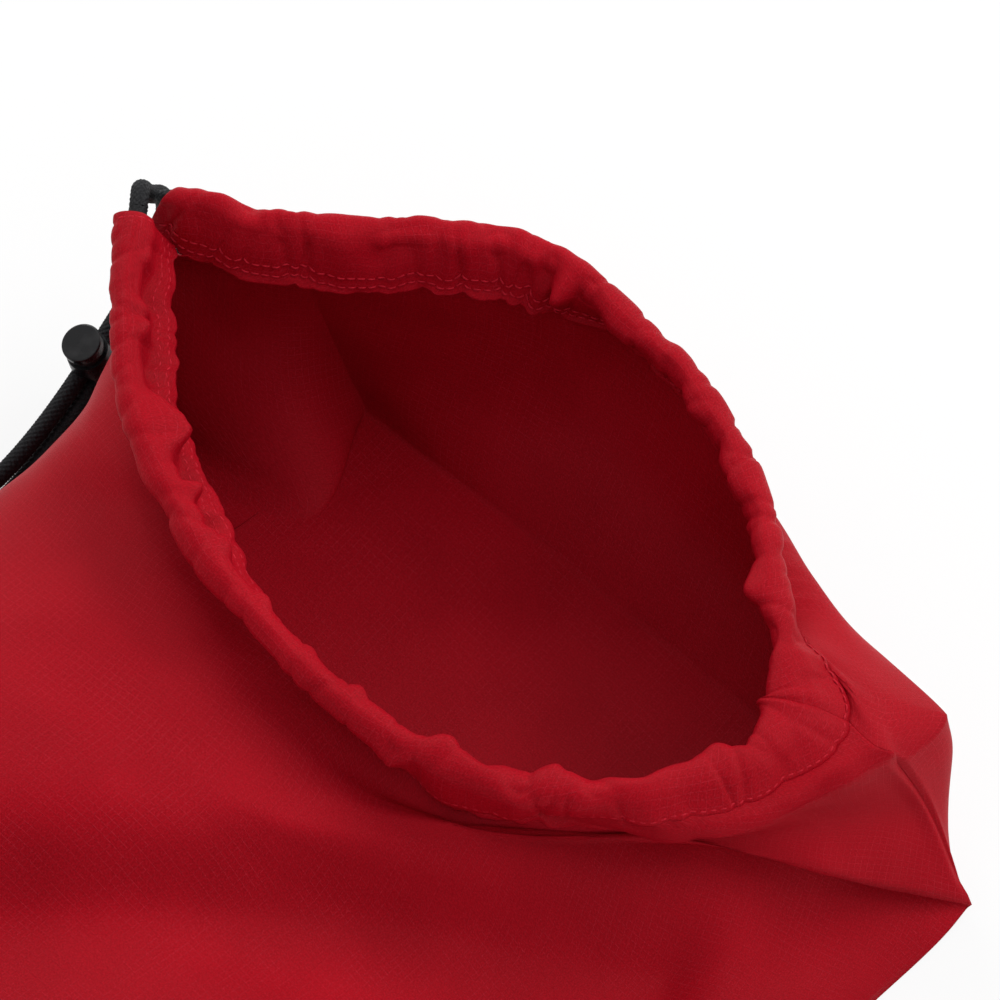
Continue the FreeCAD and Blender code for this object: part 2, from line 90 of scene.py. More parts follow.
# ---- cords and knot ----
CORD = 4.8
END_ROUND = 1.6  # of a cord end sealed by heat
OVERHANG_STEPS = 34  # points of the rear tail that the casing's end covers
CORD_STEP = 0.25  # between two rings of a tail's mesh
KNOT_STEP = 0.3
RIM_STEP = 0.6
BRAID_STRANDS = 9
BRAID_RISE = 0.34  # of a strand's middle over its edge
BRAID_LAY = 7.2
BRAID_FULLNESS = 0.7  # lower is flatter on top
BRAID_ENDS = 0.45  # height of a strand where it dips under another
KNOT_FACE = (-141.0, -42.0)
KNOT_LENGTH = 14.0
KNOT_RADIUS = 6.2
KNOT_SPREAD = 5.2
KNOT_STUB = 9.0
KNOT_TURNS = 2
KNOT_STEPS = 8  # route points in each turn
KNOT_SWELL = 1.06  # of the turns' route, since the curve cuts its corners
KNOT_TUCK = 5.0  # of the wound cord's ends inside the knot
# A tail's end through and past the knot: outwards, along from the knot's far face, and down.
KNOT_END = [(0.0, KNOT_LENGTH, 0.0), (0.0, 4.0, 0.0), (0.3, -4.0, 0.8), (1.0, -KNOT_STUB, 2.4)]
# Control points of the tails, from the casing to the knot.
TAIL_FRONT = [
    (-132, 118, 73.3), (-135.4, 121.6, 73.0), (-138, 124.4, 69.6), (-138.9, 127.4, 61.5),
    (-140.6, 134, 53), (-142, 135, 38), (-138.9, 124, 25.7), (-126.1, 68.9, 12.8), (-133.4, 38, 4.6),
    (-135.6, 10, 2.4), (-140.2, -16, 2.4), (-143.6, -32, 6.2), (-143.6, -42, 6.2)]
TAIL_BACK = [
    (-124.5, 129, 71.6), (-128.9, 126.7, 72.1), (-132.6, 126.2, 68.6), (-133.8, 129.2, 60.5),
    (-134.2, 138.5, 53), (-135, 141, 35), (-136, 125.5, 22), (-123.2, 70.4, 9.1), (-127.8, 41, 2.4),
    (-130.1, 11, 2.4), (-134.6, -15, 2.4), (-138.4, -32, 6.2), (-138.4, -42, 6.2)]

# ---- stitches ----
STITCH_PITCH = 2.5
STITCH_LENGTH = 1.9
STITCH_WIDTH = 0.5
STITCH_FIRST = 0.4  # from the start of a row
STITCH_LIFT = 0.02  # off the cloth
STITCH_RISE = 0.20  # and more towards its middle
STITCH_LEAST = 0.05  # keeps its ends from closing to a point
STITCH_TAPER = 0.55  # thickness of a stitch's ends
STITCH_FLATNESS = 0.8
STITCH_RINGS = 6
STITCH_AROUND = 8
# Rows along the casing: name, section row, and the side they show on: 1 is inside the mouth.
CASING_STITCHES = (("inner_low", 0.9, 1), ("inner_high", 1.45, 1), ("outer", 8.75, -1))
CASING_STITCHES_UP = (0, 0, 0.8)
END_HEM = 3  # grid column of the stitches at the open end
END_HEM_ROWS = (3.1, 7.4)  # section rows where they start and end

# ---- side folds, bindings and base loop ----
FOLD_LEFT = (-114.0, 142.0)
FOLD_RIGHT = (119.0, 156.0)
BINDING_WIDTH = 8.0
BINDING_THICK = 0.6
BINDING_ROUND = 0.28
BINDING_CROWN = 0.15  # of the tape's middle over its edges
BINDING_INSET = 7.0  # from the side fold to the tape's outer edge
BINDING_START = 60.0  # from the base to the start of the side tapes
BINDING_END = 38.0  # from the fold across the back to their end
BINDING_LIFT = 0.35  # off the cloth of the floor
BINDING_WANDER = 0.25
BINDING_STITCHES = 0.3  # of the width, from the middle towards the bag's own
BASE_BINDING_DEPTH = 3.0
BASE_BINDING_HEIGHT = 3.2
BASE_BINDING_LOW = 0.2  # of the tape below that height
BASE_BINDING_ROUND = 1.1
BASE_BINDING_LIFT = 0.12  # of the tape off the floor, and its wander
BASE_STITCHES = 0.15  # from the middle of the binding
WEBBING_WIDTH = 20.0
WEBBING_THICK = 1.6
WEBBING_ROUND = 0.6
LOOP_STITCHES = (2.4, 5.4)  # from the base binding to the two rows
LOOP_STITCHES_HALF = 0.42 * WEBBING_WIDTH
LOOP_STITCHES_UP = (0.0, -0.3, 0.95)
# Middle of the loop's webbing seen from the side: y and z, out along the floor, round the eye and back.
LOOP_SIDE = [(-162.7, 0.82), (-170, 0.82), (-180, 0.86), (-187.5, 0.95), (-192.4, 2.4), (-193.9, 6.0),
             (-192.4, 9.5), (-188.8, 11.1), (-184.4, 10.1), (-176, 6.9), (-168.5, 4.3), (-162.7, 2.5)]
# Points along the side tapes, the base tape, the loop's webbing and its stitches.
TAPE_STEPS = 120
BASE_TAPE_STEPS = 240
LOOP_STEPS = 140
LOOP_STITCH_STEPS = 40
OUTLINE_STEPS = 4  # points in each rounded corner of a tape

LOCK_NODES = ("lock_barrel", "lock_plunger", "lock_spring")
UP = (0.0, 0.0, 1.0)
RIGHT = (1.0, 0.0, 0.0)

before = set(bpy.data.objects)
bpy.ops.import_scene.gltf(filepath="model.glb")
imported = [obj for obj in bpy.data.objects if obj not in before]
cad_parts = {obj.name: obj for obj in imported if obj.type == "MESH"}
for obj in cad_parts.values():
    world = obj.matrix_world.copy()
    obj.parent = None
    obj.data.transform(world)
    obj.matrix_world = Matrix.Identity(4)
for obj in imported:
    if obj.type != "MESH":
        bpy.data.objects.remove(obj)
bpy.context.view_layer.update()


# ---- small helpers ----

def unit_rows(rows):
    return rows / np.maximum(np.linalg.norm(rows, axis=-1, keepdims=True), 1e-9)


def rim_z(x, y):
    return RIM_HEIGHT + RIM_RISE * (RIM_BACK[1] - y) - RIM_LEAN * (x - RIM_BACK[0])


RIM_UP = unit_rows(np.array([RIM_LEAN, RIM_RISE, 1.0]))


def smooth_step(value):
    share = np.clip(value, 0.0, 1.0)
    return share * share * (3.0 - 2.0 * share)


def bump(value, centre, width):
    return np.exp(-((value - centre) / width) ** 2)


def run_lengths(line):
    """Length of a line from its start to each of its points."""
    return np.concatenate([[0.0], np.cumsum(np.linalg.norm(np.diff(line, axis=0), axis=1))])


def read_line(at, marks, line):
    """Points of a line at some marks, where marks holds the line's own."""
    return np.stack([np.interp(at, marks, line[:, axis]) for axis in range(3)], axis=1)


def same_rows(direction, line):
    """One direction for every point of a line."""
    return np.tile(direction, (len(line), 1))


def interpolate(knots, net, at, sharp=None):
    """Cubic curves through net along its first axis that don't overshoot; sharp in 0..1 breaks the slope."""
    knots = np.asarray(knots, float)
    net = np.asarray(net, float)
    flat = (-1,) + (1,) * (net.ndim - 1)
    step = np.diff(knots).reshape(flat)
    slope = np.diff(net, axis=0) / step
    middle = (slope[:-1] * step[1:] + slope[1:] * step[:-1]) / (step[:-1] + step[1:])
    sizes = np.linalg.norm(slope, axis=-1, keepdims=True)
    gentler = np.minimum(sizes[:-1], sizes[1:])
    steep = np.maximum(np.linalg.norm(middle, axis=-1, keepdims=True), 1e-9)
    middle = middle * np.minimum(1.0, 2.0 * gentler / steep)
    tangent = np.concatenate([slope[:1], middle, slope[-1:]])
    arriving = tangent.copy()
    leaving = tangent.copy()
    if sharp is not None:
        weight = np.asarray(sharp, float)[..., None]
        arriving[1:] += weight[1:] * (slope - tangent[1:])
        leaving[:-1] += weight[:-1] * (slope - tangent[:-1])
    at = np.asarray(at, float)
    index = np.clip(np.searchsorted(knots, at, side="right") - 1, 0, len(knots) - 2)
    span = (knots[index + 1] - knots[index]).reshape(flat)
    share = (at - knots[index]).reshape(flat) / span
    start = (2 * share ** 3 - 3 * share ** 2 + 1) * net[index]
    start_slope = (share ** 3 - 2 * share ** 2 + share) * span * leaving[index]
    end = (3 * share ** 2 - 2 * share ** 3) * net[index + 1]
    end_slope = (share ** 3 - share ** 2) * span * arriving[index + 1]
    return start + start_slope + end + end_slope


def soft_noise(u, v, scale, seed):
    """Smooth seeded noise in about -1..1 over a plane."""
    size = 64
    table = np.random.default_rng(seed).uniform(-1.0, 1.0, (size, size))
    x = np.asarray(u) / scale
    y = np.asarray(v) / scale
    left = np.floor(x).astype(int)
    low = np.floor(y).astype(int)
    fx = smooth_step(x - left)
    fy = smooth_step(y - low)

    def corner(dx, dy):
        return table[(left + dx) % size, (low + dy) % size]

    return ((corner(0, 0) * (1 - fx) + corner(1, 0) * fx) * (1 - fy)
            + (corner(0, 1) * (1 - fx) + corner(1, 1) * fx) * fy)


def line_noise(along, scale, seed):
    """Smooth seeded noise in about -1..1 along a line."""
    return soft_noise(along, 0.0 * along, scale, seed)


def grid_normals(grid):
    across = np.gradient(grid, axis=1)
    along = np.gradient(grid, axis=0)
    return unit_rows(np.cross(across, along))


def add_object(name, data):
    made = bpy.data.objects.new(name, data)
    bpy.context.collection.objects.link(made)
    return made


def add_mesh(name, points, faces):
    """Object with a smooth-shaded mesh, from points in millimetres."""
    mesh = bpy.data.meshes.new(name)
    mesh.from_pydata((np.reshape(points, (-1, 3)) * MM).tolist(), [], faces)
    mesh.update()
    mesh.shade_smooth()
    return add_object(name, mesh)


def grid_object(name, grid, cloth_uv=None, closed=False):
    """Mesh of quads over a grid of points, with the cloth's own coordinates as its UV."""
    rows, columns = grid.shape[:2]
    index = np.arange(rows * columns).reshape(rows, columns)
    if closed:
        index = np.concatenate([index, index[:, :1]], axis=1)
    quads = np.stack([index[:-1, :-1], index[:-1, 1:], index[1:, 1:], index[1:, :-1]], axis=-1)
    made = add_mesh(name, grid, quads.reshape(-1, 4).tolist())
    if cloth_uv is not None:
        mesh = made.data
        layer = mesh.uv_layers.new(name="cloth")
        corners = np.empty(len(mesh.loops), dtype=np.int32)
        mesh.loops.foreach_get("vertex_index", corners)
        layer.data.foreach_set("uv", (cloth_uv.reshape(-1, 2)[corners] * MM).astype(np.float32).ravel())
    return made


def finish_piece(piece, material, slot, body, *nodes):
    piece.data.materials.append(material)
    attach(piece, body)
    if nodes:
        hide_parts(*nodes)
    return piece


def thicken(piece):
    solid = piece.modifiers.new("thickness", "SOLIDIFY")
    solid.thickness = CLOTH_THICK * MM
    solid.offset = -1.0


# ---- camera, floor and light ----

def view_direction():
    azimuth = math.radians(CAMERA_AZIMUTH)
    elevation = math.radians(CAMERA_ELEVATION)
    return Vector((math.sin(azimuth) * math.cos(elevation), -math.cos(azimuth) * math.cos(elevation),
                   math.sin(elevation)))


def aim(thing, direction):
    thing.rotation_mode = "QUATERNION"
    thing.rotation_quaternion = direction.to_track_quat("-Z", "Y")


def add_camera():
    data = bpy.data.cameras.new("camera")
    data.sensor_width = SENSOR
    data.lens = SENSOR * CAMERA_DISTANCE / PICTURE_WIDTH
    data.clip_start, data.clip_end = CLIP
    camera = add_object("camera", data)
    back = view_direction()
    camera.location = (Vector(CAMERA_AIM) + back * CAMERA_DISTANCE) * MM
    aim(camera, -back)
    bpy.context.scene.camera = camera


def add_lights():
    for name, place, size, power in LAMPS:
        data = bpy.data.lights.new(name, "AREA")
        data.shape = "SQUARE"
        data.size = size
        data.energy = power
        lamp = add_object(name, data)
        lamp.location = place
        aim(lamp, Vector(LAMP_TARGET) - Vector(place))


def white_background(nodes, links, shader, output):
    """Shows plain white to the camera, to gloss and through glass, and the shader to all other rays."""
    path = nodes.new("ShaderNodeLightPath")
    seen = path.outputs["Is Camera Ray"]
    for ray in ("Is Glossy Ray", "Is Transmission Ray"):
        either = nodes.new("ShaderNodeMath")
        either.operation = "MAXIMUM"
        links.new(seen, either.inputs[0])
        links.new(path.outputs[ray], either.inputs[1])
        seen = either.outputs[0]
    white = nodes.new("ShaderNodeBackground")
    white.inputs["Strength"].default_value = 1.0
    white.inputs["Color"].default_value = WHITE
    mix_shaders(nodes, links, (seen, shader, white.outputs[0]), output)


def mix_shaders(nodes, links, sources, output):
    """A factor, the shader at 0 and the shader at 1, mixed into an output."""
    mix = nodes.new("ShaderNodeMixShader")
    for index, source in enumerate(sources):
        links.new(source, mix.inputs[index])
    links.new(mix.outputs[0], output)


def add_world():
    world = bpy.data.worlds.new("studio")
    bpy.context.scene.world = world
    world.use_nodes = True
    nodes = world.node_tree.nodes
    soft = nodes["Background"]
    soft.inputs["Color"].default_value = WHITE
    soft.inputs["Strength"].default_value = WORLD_LEVEL
    white_background(nodes, world.node_tree.links, soft.outputs[0], nodes["World Output"].inputs["Surface"])


def add_stage():
    corners = np.array([(-1, -1, 0), (1, -1, 0), (1, 1, 0), (-1, 1, 0)]) * FLOOR_HALF
    floor = add_mesh("floor", corners, [(0, 1, 2, 3)])
    floor.location.z = -FLOOR_DROP * MM
    made = Nodes("floor_white")
    made.set(Base_Color=FLOOR_GREY, Roughness=0.9, Specular_IOR_Level=0.1)
    nodes = made.tree.nodes
    glow = made.add("ShaderNodeEmission", Color=WHITE)
    path = nodes.new("ShaderNodeLightPath")
    share = made.times(path.outputs["Is Camera Ray"], FLOOR_GLOW)
    mix_shaders(nodes, made.tree.links, (share, made.shader.outputs[0], glow.outputs[0]),
                nodes["Material Output"].inputs["Surface"])
    floor.data.materials.append(made.material)


# ---- materials ----

class Nodes:
    """Short calls for the node trees below. Noise scales are in patches per metre."""

    def __init__(self, name):
        self.material = bpy.data.materials.new(name)
        self.material.use_nodes = True
        self.tree = self.material.node_tree
        self.shader = self.tree.nodes["Principled BSDF"]

    def place(self, kind):
        """The cloth's own coordinates (UV), or those in the piece (Object)."""
        return self.tree.nodes.new("ShaderNodeTexCoord").outputs[kind]

    def axes(self, place):
        split = self.tree.nodes.new("ShaderNodeSeparateXYZ")
        self.link(place, split.inputs[0])
        return split.outputs["X"], split.outputs["Y"]

    def add(self, kind, **inputs):
        node = self.tree.nodes.new(kind)
        for key, value in inputs.items():
            node.inputs[key.replace("_", " ")].default_value = value
        return node

    def link(self, start, end):
        self.tree.links.new(start, end)

    def math(self, operation, *values):
        node = self.tree.nodes.new("ShaderNodeMath")
        node.operation = operation
        for index, value in enumerate(values):
            if isinstance(value, (int, float)):
                node.inputs[index].default_value = value
            else:
                self.link(value, node.inputs[index])
        return node.outputs[0]

    def times(self, first, second):
        return self.math("MULTIPLY", first, second)

    def plus(self, first, second):
        return self.math("ADD", first, second)

    def turns(self, value, pitch):
        """An angle that goes round once in each pitch."""
        return self.times(value, 2 * math.pi / (pitch * MM))

    def ramp(self, value, low, high):
        """Rises smoothly from 0 to 1 as value goes from low to high."""
        node = self.add("ShaderNodeMapRange", From_Min=low, From_Max=high)
        node.interpolation_type = "SMOOTHSTEP"
        self.link(value, node.inputs["Value"])
        return node.outputs["Result"]

    def noise(self, place, scale, detail=2.0):
        node = self.add("ShaderNodeTexNoise", Scale=scale, Detail=detail)
        self.link(place, node.inputs["Vector"])
        return node.outputs["Fac"]

    def patches(self, place, scale, low, high, detail=2.0):
        return self.ramp(self.noise(place, scale, detail), low, high)

    def mix(self, factor, first, second):
        node = self.tree.nodes.new("ShaderNodeMix")
        node.data_type = "RGBA"
        self.link(factor, node.inputs["Factor"])
        for socket, value in ((node.inputs["A"], first), (node.inputs["B"], second)):
            if isinstance(value, tuple):
                socket.default_value = value
            else:
                self.link(value, socket)
        return node.outputs["Result"]

    def set(self, **values):
        for key, value in values.items():
            self.shader.inputs[key.replace("_", " ")].default_value = value

    def paint(self, factor, first, second):
        self.link(self.mix(factor, first, second), self.shader.inputs["Base Color"])

    def relief(self, height, strength, depth):
        node = self.add("ShaderNodeBump", Strength=strength, Distance=depth * MM)
        self.link(height, node.inputs["Height"])
        self.link(node.outputs["Normal"], self.shader.inputs["Normal"])


def ripstop_material():
    """Plain weave with thicker threads every 2 mm both ways, drawn in the cloth's own coordinates."""
    made = Nodes("ripstop_red_cloth")
    place = made.place("UV")
    wander = made.times(made.noise(place, scale=60.0), RIPSTOP_WANDER * MM)
    lines = []
    threads = []
    for axis in made.axes(place):
        turns = made.turns(made.plus(axis, wander), RIPSTOP_PITCH)
        lines.append(made.ramp(made.math("COSINE", turns), *RIPSTOP_LINE_EDGE))
        threads.append(made.math("SINE", made.turns(axis, THREAD_PITCH)))
    grid = made.math("MAXIMUM", *lines)
    weave = made.times(*threads)
    dotted = made.patches(place, scale=1500.0, low=0.36, high=0.60)
    patched = made.patches(place, scale=55.0, low=0.30, high=0.62, detail=3.0)
    shown = made.times(dotted, made.plus(made.times(patched, RIPSTOP_SHOWN[1]), RIPSTOP_SHOWN[0]))
    broad = made.times(made.patches(place, scale=22.0, low=0.3, high=0.7, detail=4.0), RIPSTOP_MOTTLE[0])
    fine = made.times(made.patches(place, scale=2200.0, low=0.35, high=0.65), RIPSTOP_MOTTLE[1])
    base = made.mix(made.plus(broad, fine), RIPSTOP_DARK, RIPSTOP_PLAIN)
    grain = made.patches(place, scale=2600.0, low=0.60, high=0.78, detail=1.0)
    speckled = made.mix(made.times(grain, RIPSTOP_SPECKS), base, RIPSTOP_LINE)
    made.paint(made.times(grid, shown), speckled, RIPSTOP_LINE)
    height = made.plus(made.times(grid, RIPSTOP_RELIEF[0]), made.times(weave, RIPSTOP_RELIEF[1]))
    made.relief(height, strength=0.7, depth=0.09)
    made.set(Roughness=0.46, Specular_IOR_Level=0.05)
    return made.material


def thread_material():
    made = Nodes("stitch_thread")
    made.paint(made.patches(made.place("Object"), scale=1400.0, low=0.3, high=0.7), *THREAD_COLOURS)
    made.set(Roughness=0.5, Specular_IOR_Level=0.08)
    return made.material


def tape_material():
    made = Nodes("binding_tape")
    place = made.place("UV")
    made.paint(made.patches(place, scale=300.0, low=0.3, high=0.7), *TAPE_COLOURS)
    ribs = made.math("SINE", made.turns(made.axes(place)[0], TAPE_RIB_PITCH))
    made.relief(ribs, strength=0.5, depth=0.08)
    made.set(Roughness=0.7, Specular_IOR_Level=0.1)
    return made.material


def webbing_material():
    made = Nodes("webbing_black")
    axes = made.axes(made.place("UV"))
    turns = [made.turns(axis, pitch) for axis, pitch in zip(axes, WEBBING_PITCH)]
    weave = made.plus(*(made.math("SINE", made.math(way, *turns)) for way in ("ADD", "SUBTRACT")))
    made.paint(made.ramp(weave, low=-1.5, high=1.8), *WEBBING_COLOURS)
    made.relief(weave, strength=0.7, depth=0.15)
    made.set(Roughness=0.62, Specular_IOR_Level=0.15)
    return made.material


def cord_material():
    made = Nodes("cord_braid")
    fibre = made.noise(made.place("Object"), scale=2600.0, detail=3.0)
    made.paint(made.ramp(fibre, low=0.35, high=0.7), *CORD_COLOURS)
    made.relief(fibre, strength=0.35, depth=0.05)
    made.set(Roughness=0.6, Sheen_Weight=0.02, Specular_IOR_Level=0.12)
    return made.material


def plastic_material():
    """Moulded plastic, a little paler and rougher where it is worn."""
    made = Nodes("lock_plastic_satin")
    place = made.place("Object")
    worn = made.patches(place, scale=260.0, low=0.45, high=0.75, detail=4.0)
    made.paint(worn, *PLASTIC_COLOURS)
    rough = made.add("ShaderNodeMapRange", To_Min=PLASTIC_ROUGHNESS[0], To_Max=PLASTIC_ROUGHNESS[1])
    made.link(worn, rough.inputs["Value"])
    made.link(rough.outputs["Result"], made.shader.inputs["Roughness"])
    made.relief(made.noise(place, scale=3500.0), strength=0.12, depth=0.02)
    made.set(Specular_IOR_Level=0.22)
    return made.material


def steel_material():
    made = Nodes("spring_wire")
    drawn = made.noise(made.place("Object"), scale=4200.0)
    made.paint(drawn, *STEEL_COLOURS)
    made.relief(drawn, strength=0.15, depth=0.02)
    made.set(Metallic=1.0, Roughness=0.3)
    return made.material


# ---- cords ----

def nurbs_line(name, points, step):
    """Even points along a smooth NURBS spline that has the route as its control points, and its length."""
    data = bpy.data.curves.new(name, "CURVE")
    data.dimensions = "3D"
    data.resolution_u = 24
    spline = data.splines.new("NURBS")
    spline.points.add(len(points) - 1)
    for target, point in zip(spline.points, points):
        target.co = (point[0] * MM, point[1] * MM, point[2] * MM, 1.0)
    spline.order_u = 3
    spline.use_endpoint_u = True
    carrier = add_object(name, data)
    bpy.context.view_layer.update()
    read = bpy.data.meshes.new_from_object(carrier)
    line = np.array([vertex.co for vertex in read.vertices]) / MM
    bpy.data.objects.remove(carrier)
    bpy.data.meshes.remove(read)
    lengths = run_lengths(line)
    even = np.linspace(0.0, lengths[-1], max(8, int(lengths[-1] / step)))
    return read_line(even, lengths, line), lengths[-1]


def carried_frames(line):
    """Two directions across a line that turn with it and don't twist."""
    tangent = unit_rows(np.gradient(line, axis=0))
    side = np.zeros_like(line)
    start = np.cross(tangent[0], UP)
    side[0] = start / np.linalg.norm(start)
    for index in range(1, len(line)):
        carried = side[index - 1] - tangent[index] * np.dot(side[index - 1], tangent[index])
        side[index] = carried / np.linalg.norm(carried)
    return side, np.cross(tangent, side)


def braid_tube(name, line, around=48, closed_end=False):
    """Tube with the relief of a diamond braid: each pillow is one strand passing over another."""
    side, up = carried_frames(line)
    lengths = run_lengths(line)
    angle = np.arange(around) * 2 * math.pi / around
    turns = angle[None, :] / (2 * math.pi) * BRAID_STRANDS
    along = lengths[:, None] / BRAID_LAY * BRAID_STRANDS / 2.0
    first = turns + along
    second = turns - along
    over = (np.floor(first) + np.floor(second)) % 2 == 0
    across_strand = np.sin(math.pi * np.where(over, first % 1.0, second % 1.0))
    along_strand = np.sin(math.pi * np.where(over, second % 1.0, first % 1.0))
    pillow = across_strand ** BRAID_FULLNESS * (BRAID_ENDS + (1.0 - BRAID_ENDS) * along_strand)
    radius = CORD / 2 - BRAID_RISE * (1.0 - pillow)
    if closed_end:
        past = np.clip((lengths - lengths[-1]) / END_ROUND + 1.0, 0.0, 1.0)
        radius *= np.sqrt(1.0 - past ** 2)[:, None]
    ring = (np.cos(angle)[None, :, None] * side[:, None, :] + np.sin(angle)[None, :, None] * up[:, None, :])
    return grid_object(name, line[:, None, :] + ring * radius[..., None], closed=True)


def rim_line():
    """Line of the drawcord in its casing, from its front exit round the mouth to its rear exit."""
    stations = np.array([TAIL_FRONT[0]] + station_points(FRONT_STATIONS[1:])
                        + station_points(REAR_STATIONS[-2:0:-1]) + [TAIL_BACK[0]], float)
    bend = 2 * stations[1:-1] - stations[:-2] - stations[2:]
    stations[1:-1] += bend / 6
    return nurbs_line("rim_route", stations, RIM_STEP)[0]


def add_cords(material, rim):
    finish_piece(braid_tube("drawcord_braid", rim, around=24), material, "cord_black", "bag", "drawcord")
    tails = []
    for node, route in (("tail_front", TAIL_FRONT), ("tail_back", TAIL_BACK)):
        line, length = nurbs_line(f"{node}_route", route, CORD_STEP)
        braid = finish_piece(braid_tube(f"{node}_braid", line), material, "cord_black", "bag", node)
        tails.append((braid, line, length))
    return tails


def join_pieces(name, pieces):
    """One object with the meshes of several."""
    work = bmesh.new()
    for piece in pieces:
        work.from_mesh(piece.data)
        bpy.data.objects.remove(piece)
    mesh = bpy.data.meshes.new(name)
    work.to_mesh(mesh)
    work.free()
    return add_object(name, mesh)


def add_knot(material):
    """Overhand knot in both tails: one cord wound round the pair, whose sealed ends stick out."""
    x, face = KNOT_FACE
    end = face - KNOT_LENGTH
    reach = KNOT_SWELL * (KNOT_RADIUS - CORD / 2)
    route = [(x, face - KNOT_TUCK, KNOT_RADIUS)]
    steps = KNOT_TURNS * KNOT_STEPS
    for step in range(steps + 1):
        angle = 2 * math.pi * step / KNOT_STEPS
        route.append((x + reach * math.cos(angle), face - CORD / 2 - (KNOT_LENGTH - CORD) * step / steps,
                      KNOT_RADIUS + reach * math.sin(angle)))
    route.append((x, end + KNOT_TUCK, KNOT_RADIUS))
    parts = [braid_tube("knot_turns", nurbs_line("knot_route", route, KNOT_STEP)[0])]
    for side in (-1, 1):
        middle = x + side * KNOT_SPREAD / 2
        stub = [(middle + side * out, end + along, KNOT_RADIUS - drop) for out, along, drop in KNOT_END]
        line = nurbs_line("stub_route", stub, CORD_STEP)[0]
        parts.append(braid_tube(f"knot_end_{side}", line, closed_end=True))
    return finish_piece(join_pieces("tail_knot_cords", parts), material, "cord_black", "bag", "tail_knot")


# ---- casing ----

# Sections of the casing seen along the cord: distance out from the cord's centre and height above it,
# from the free hem edge inside, over the fold, to the stitched foot outside.
LEANING_OUT = [
    (-12.6, -9.2), (-10.6, -7.8), (-5.6, -5.4), (-2.6, 1.8), (-0.6, 3.5), (1.6, 3.6), (3.8, 2.0),
    (4.7, -0.6), (1.5, -4.2), (-9.4, -9.0)]
STEEP = [
    (-9.4, -12.6), (-8.2, -10.2), (-5.0, -5.6), (-2.8, 1.6), (-0.6, 3.4), (1.4, 3.6), (3.6, 2.0),
    (4.6, -0.8), (1.0, -5.4), (-7.0, -11.0)]
LEANING_IN = [
    (6.0, -9.4), (5.2, -7.6), (0.8, -4.8), (-3.4, -2.6), (-5.2, 0.4), (-4.4, 2.8), (-1.4, 3.7), (2.6, 3.0),
    (5.8, 0.9), (8.8, -1.6)]
WIDE_IN = [
    (12.0, -9.6), (10.2, -8.2), (3.0, -5.6), (-6.0, -3.8), (-11.4, -1.6), (-10.4, 1.2), (-4.2, 3.5),
    (3.2, 3.6), (8.6, 1.6), (13.2, -0.4)]
TUCKED = [
    (2.0, -11.0), (1.6, -9.0), (-1.6, -5.2), (-4.2, -1.4), (-4.2, 2.0), (-1.7, 4.2), (1.9, 3.7),
    (4.3, 1.0), (4.4, -2.6), (2.6, -6.0)]
FACING = [
    (-9.4, -11.2), (-8.0, -9.2), (-6.2, -4.0), (-3.8, 0.6), (-1.6, 3.4), (1.6, 4.6), (4.0, 3.2),
    (4.4, 0.2), (1.4, -4.0), (-6.8, -10.0)]
OPEN_END = [
    (-11.0, -9.2), (-9.4, -8.0), (-6.8, -3.8), (-4.8, 1.8), (-1.8, 3.8), (1.8, 3.8), (4.8, 2.2),
    (5.8, -0.6), (2.2, -4.4), (-8.4, -8.8)]
CLOSED_END = [
    (-6.0, -8.5), (-5.4, -6.8), (-4.6, -2.6), (-3.4, 0.4), (-1.8, 2.8), (0.6, 3.6), (2.8, 2.4), (3.4, 0.2),
    (1.0, -3.4), (-4.6, -7.4)]
UPRIGHT = [
    (1.8, -13.0), (2.0, -10.8), (-1.6, -5.0), (-4.2, -1.0), (-4.2, 2.2), (-1.7, 4.2), (1.7, 3.6),
    (4.2, 1.0), (4.4, -4.0), (3.4, -10.8)]
# How sharply the cloth is folded at each point of a section.
FOLD_CREASE = [0, 0, 0.2, 0.8, 0.1, 0, 0, 0, 0, 0]

# Stations of the cord's centre in the casing: x, y, lift off the rim plane, section.
FRONT_STATIONS = [
    (-130, 115.5, 0, OPEN_END), (-117, 101, 0, LEANING_OUT), (-93, 81, 0, LEANING_OUT),
    (-62, 67.5, 0, LEANING_OUT), (-31, 61.5, 0, STEEP), (4, 61, 0, STEEP), (32, 68, 0, UPRIGHT),
    (54, 84, 0, TUCKED), (68, 104, 0, LEANING_IN), (75, 123, 0, LEANING_IN), (73, 141.5, 0, WIDE_IN)]
REAR_STATIONS = [(-130.5, 126.2, -2.5, CLOSED_END), (-110, 136.5, 0, FACING), (-96, 150, 0, FACING),
                 (-80, 167, 0, FACING), (-60, 183.5, -0.4, FACING), (-35, 187, -0.8, UPRIGHT),
                 (-6, 185.4, -0.8, UPRIGHT), (21, 176.2, -0.4, UPRIGHT), (42.6, 162.2, 0, UPRIGHT),
                 (59.8, 149.4, 0, LEANING_IN), (73, 141.5, 0, WIDE_IN)]
CASING_INSIDE = 3.4  # least distance from the cord's centre to the cloth's main folds
CORD_CLEAR = 2.85  # and to its finest gathers
SEAM_GROOVE = 0.8
SEAM_GROOVE_WIDTH = 1.1
SECTION_STEPS = 6  # grid rows between two section points

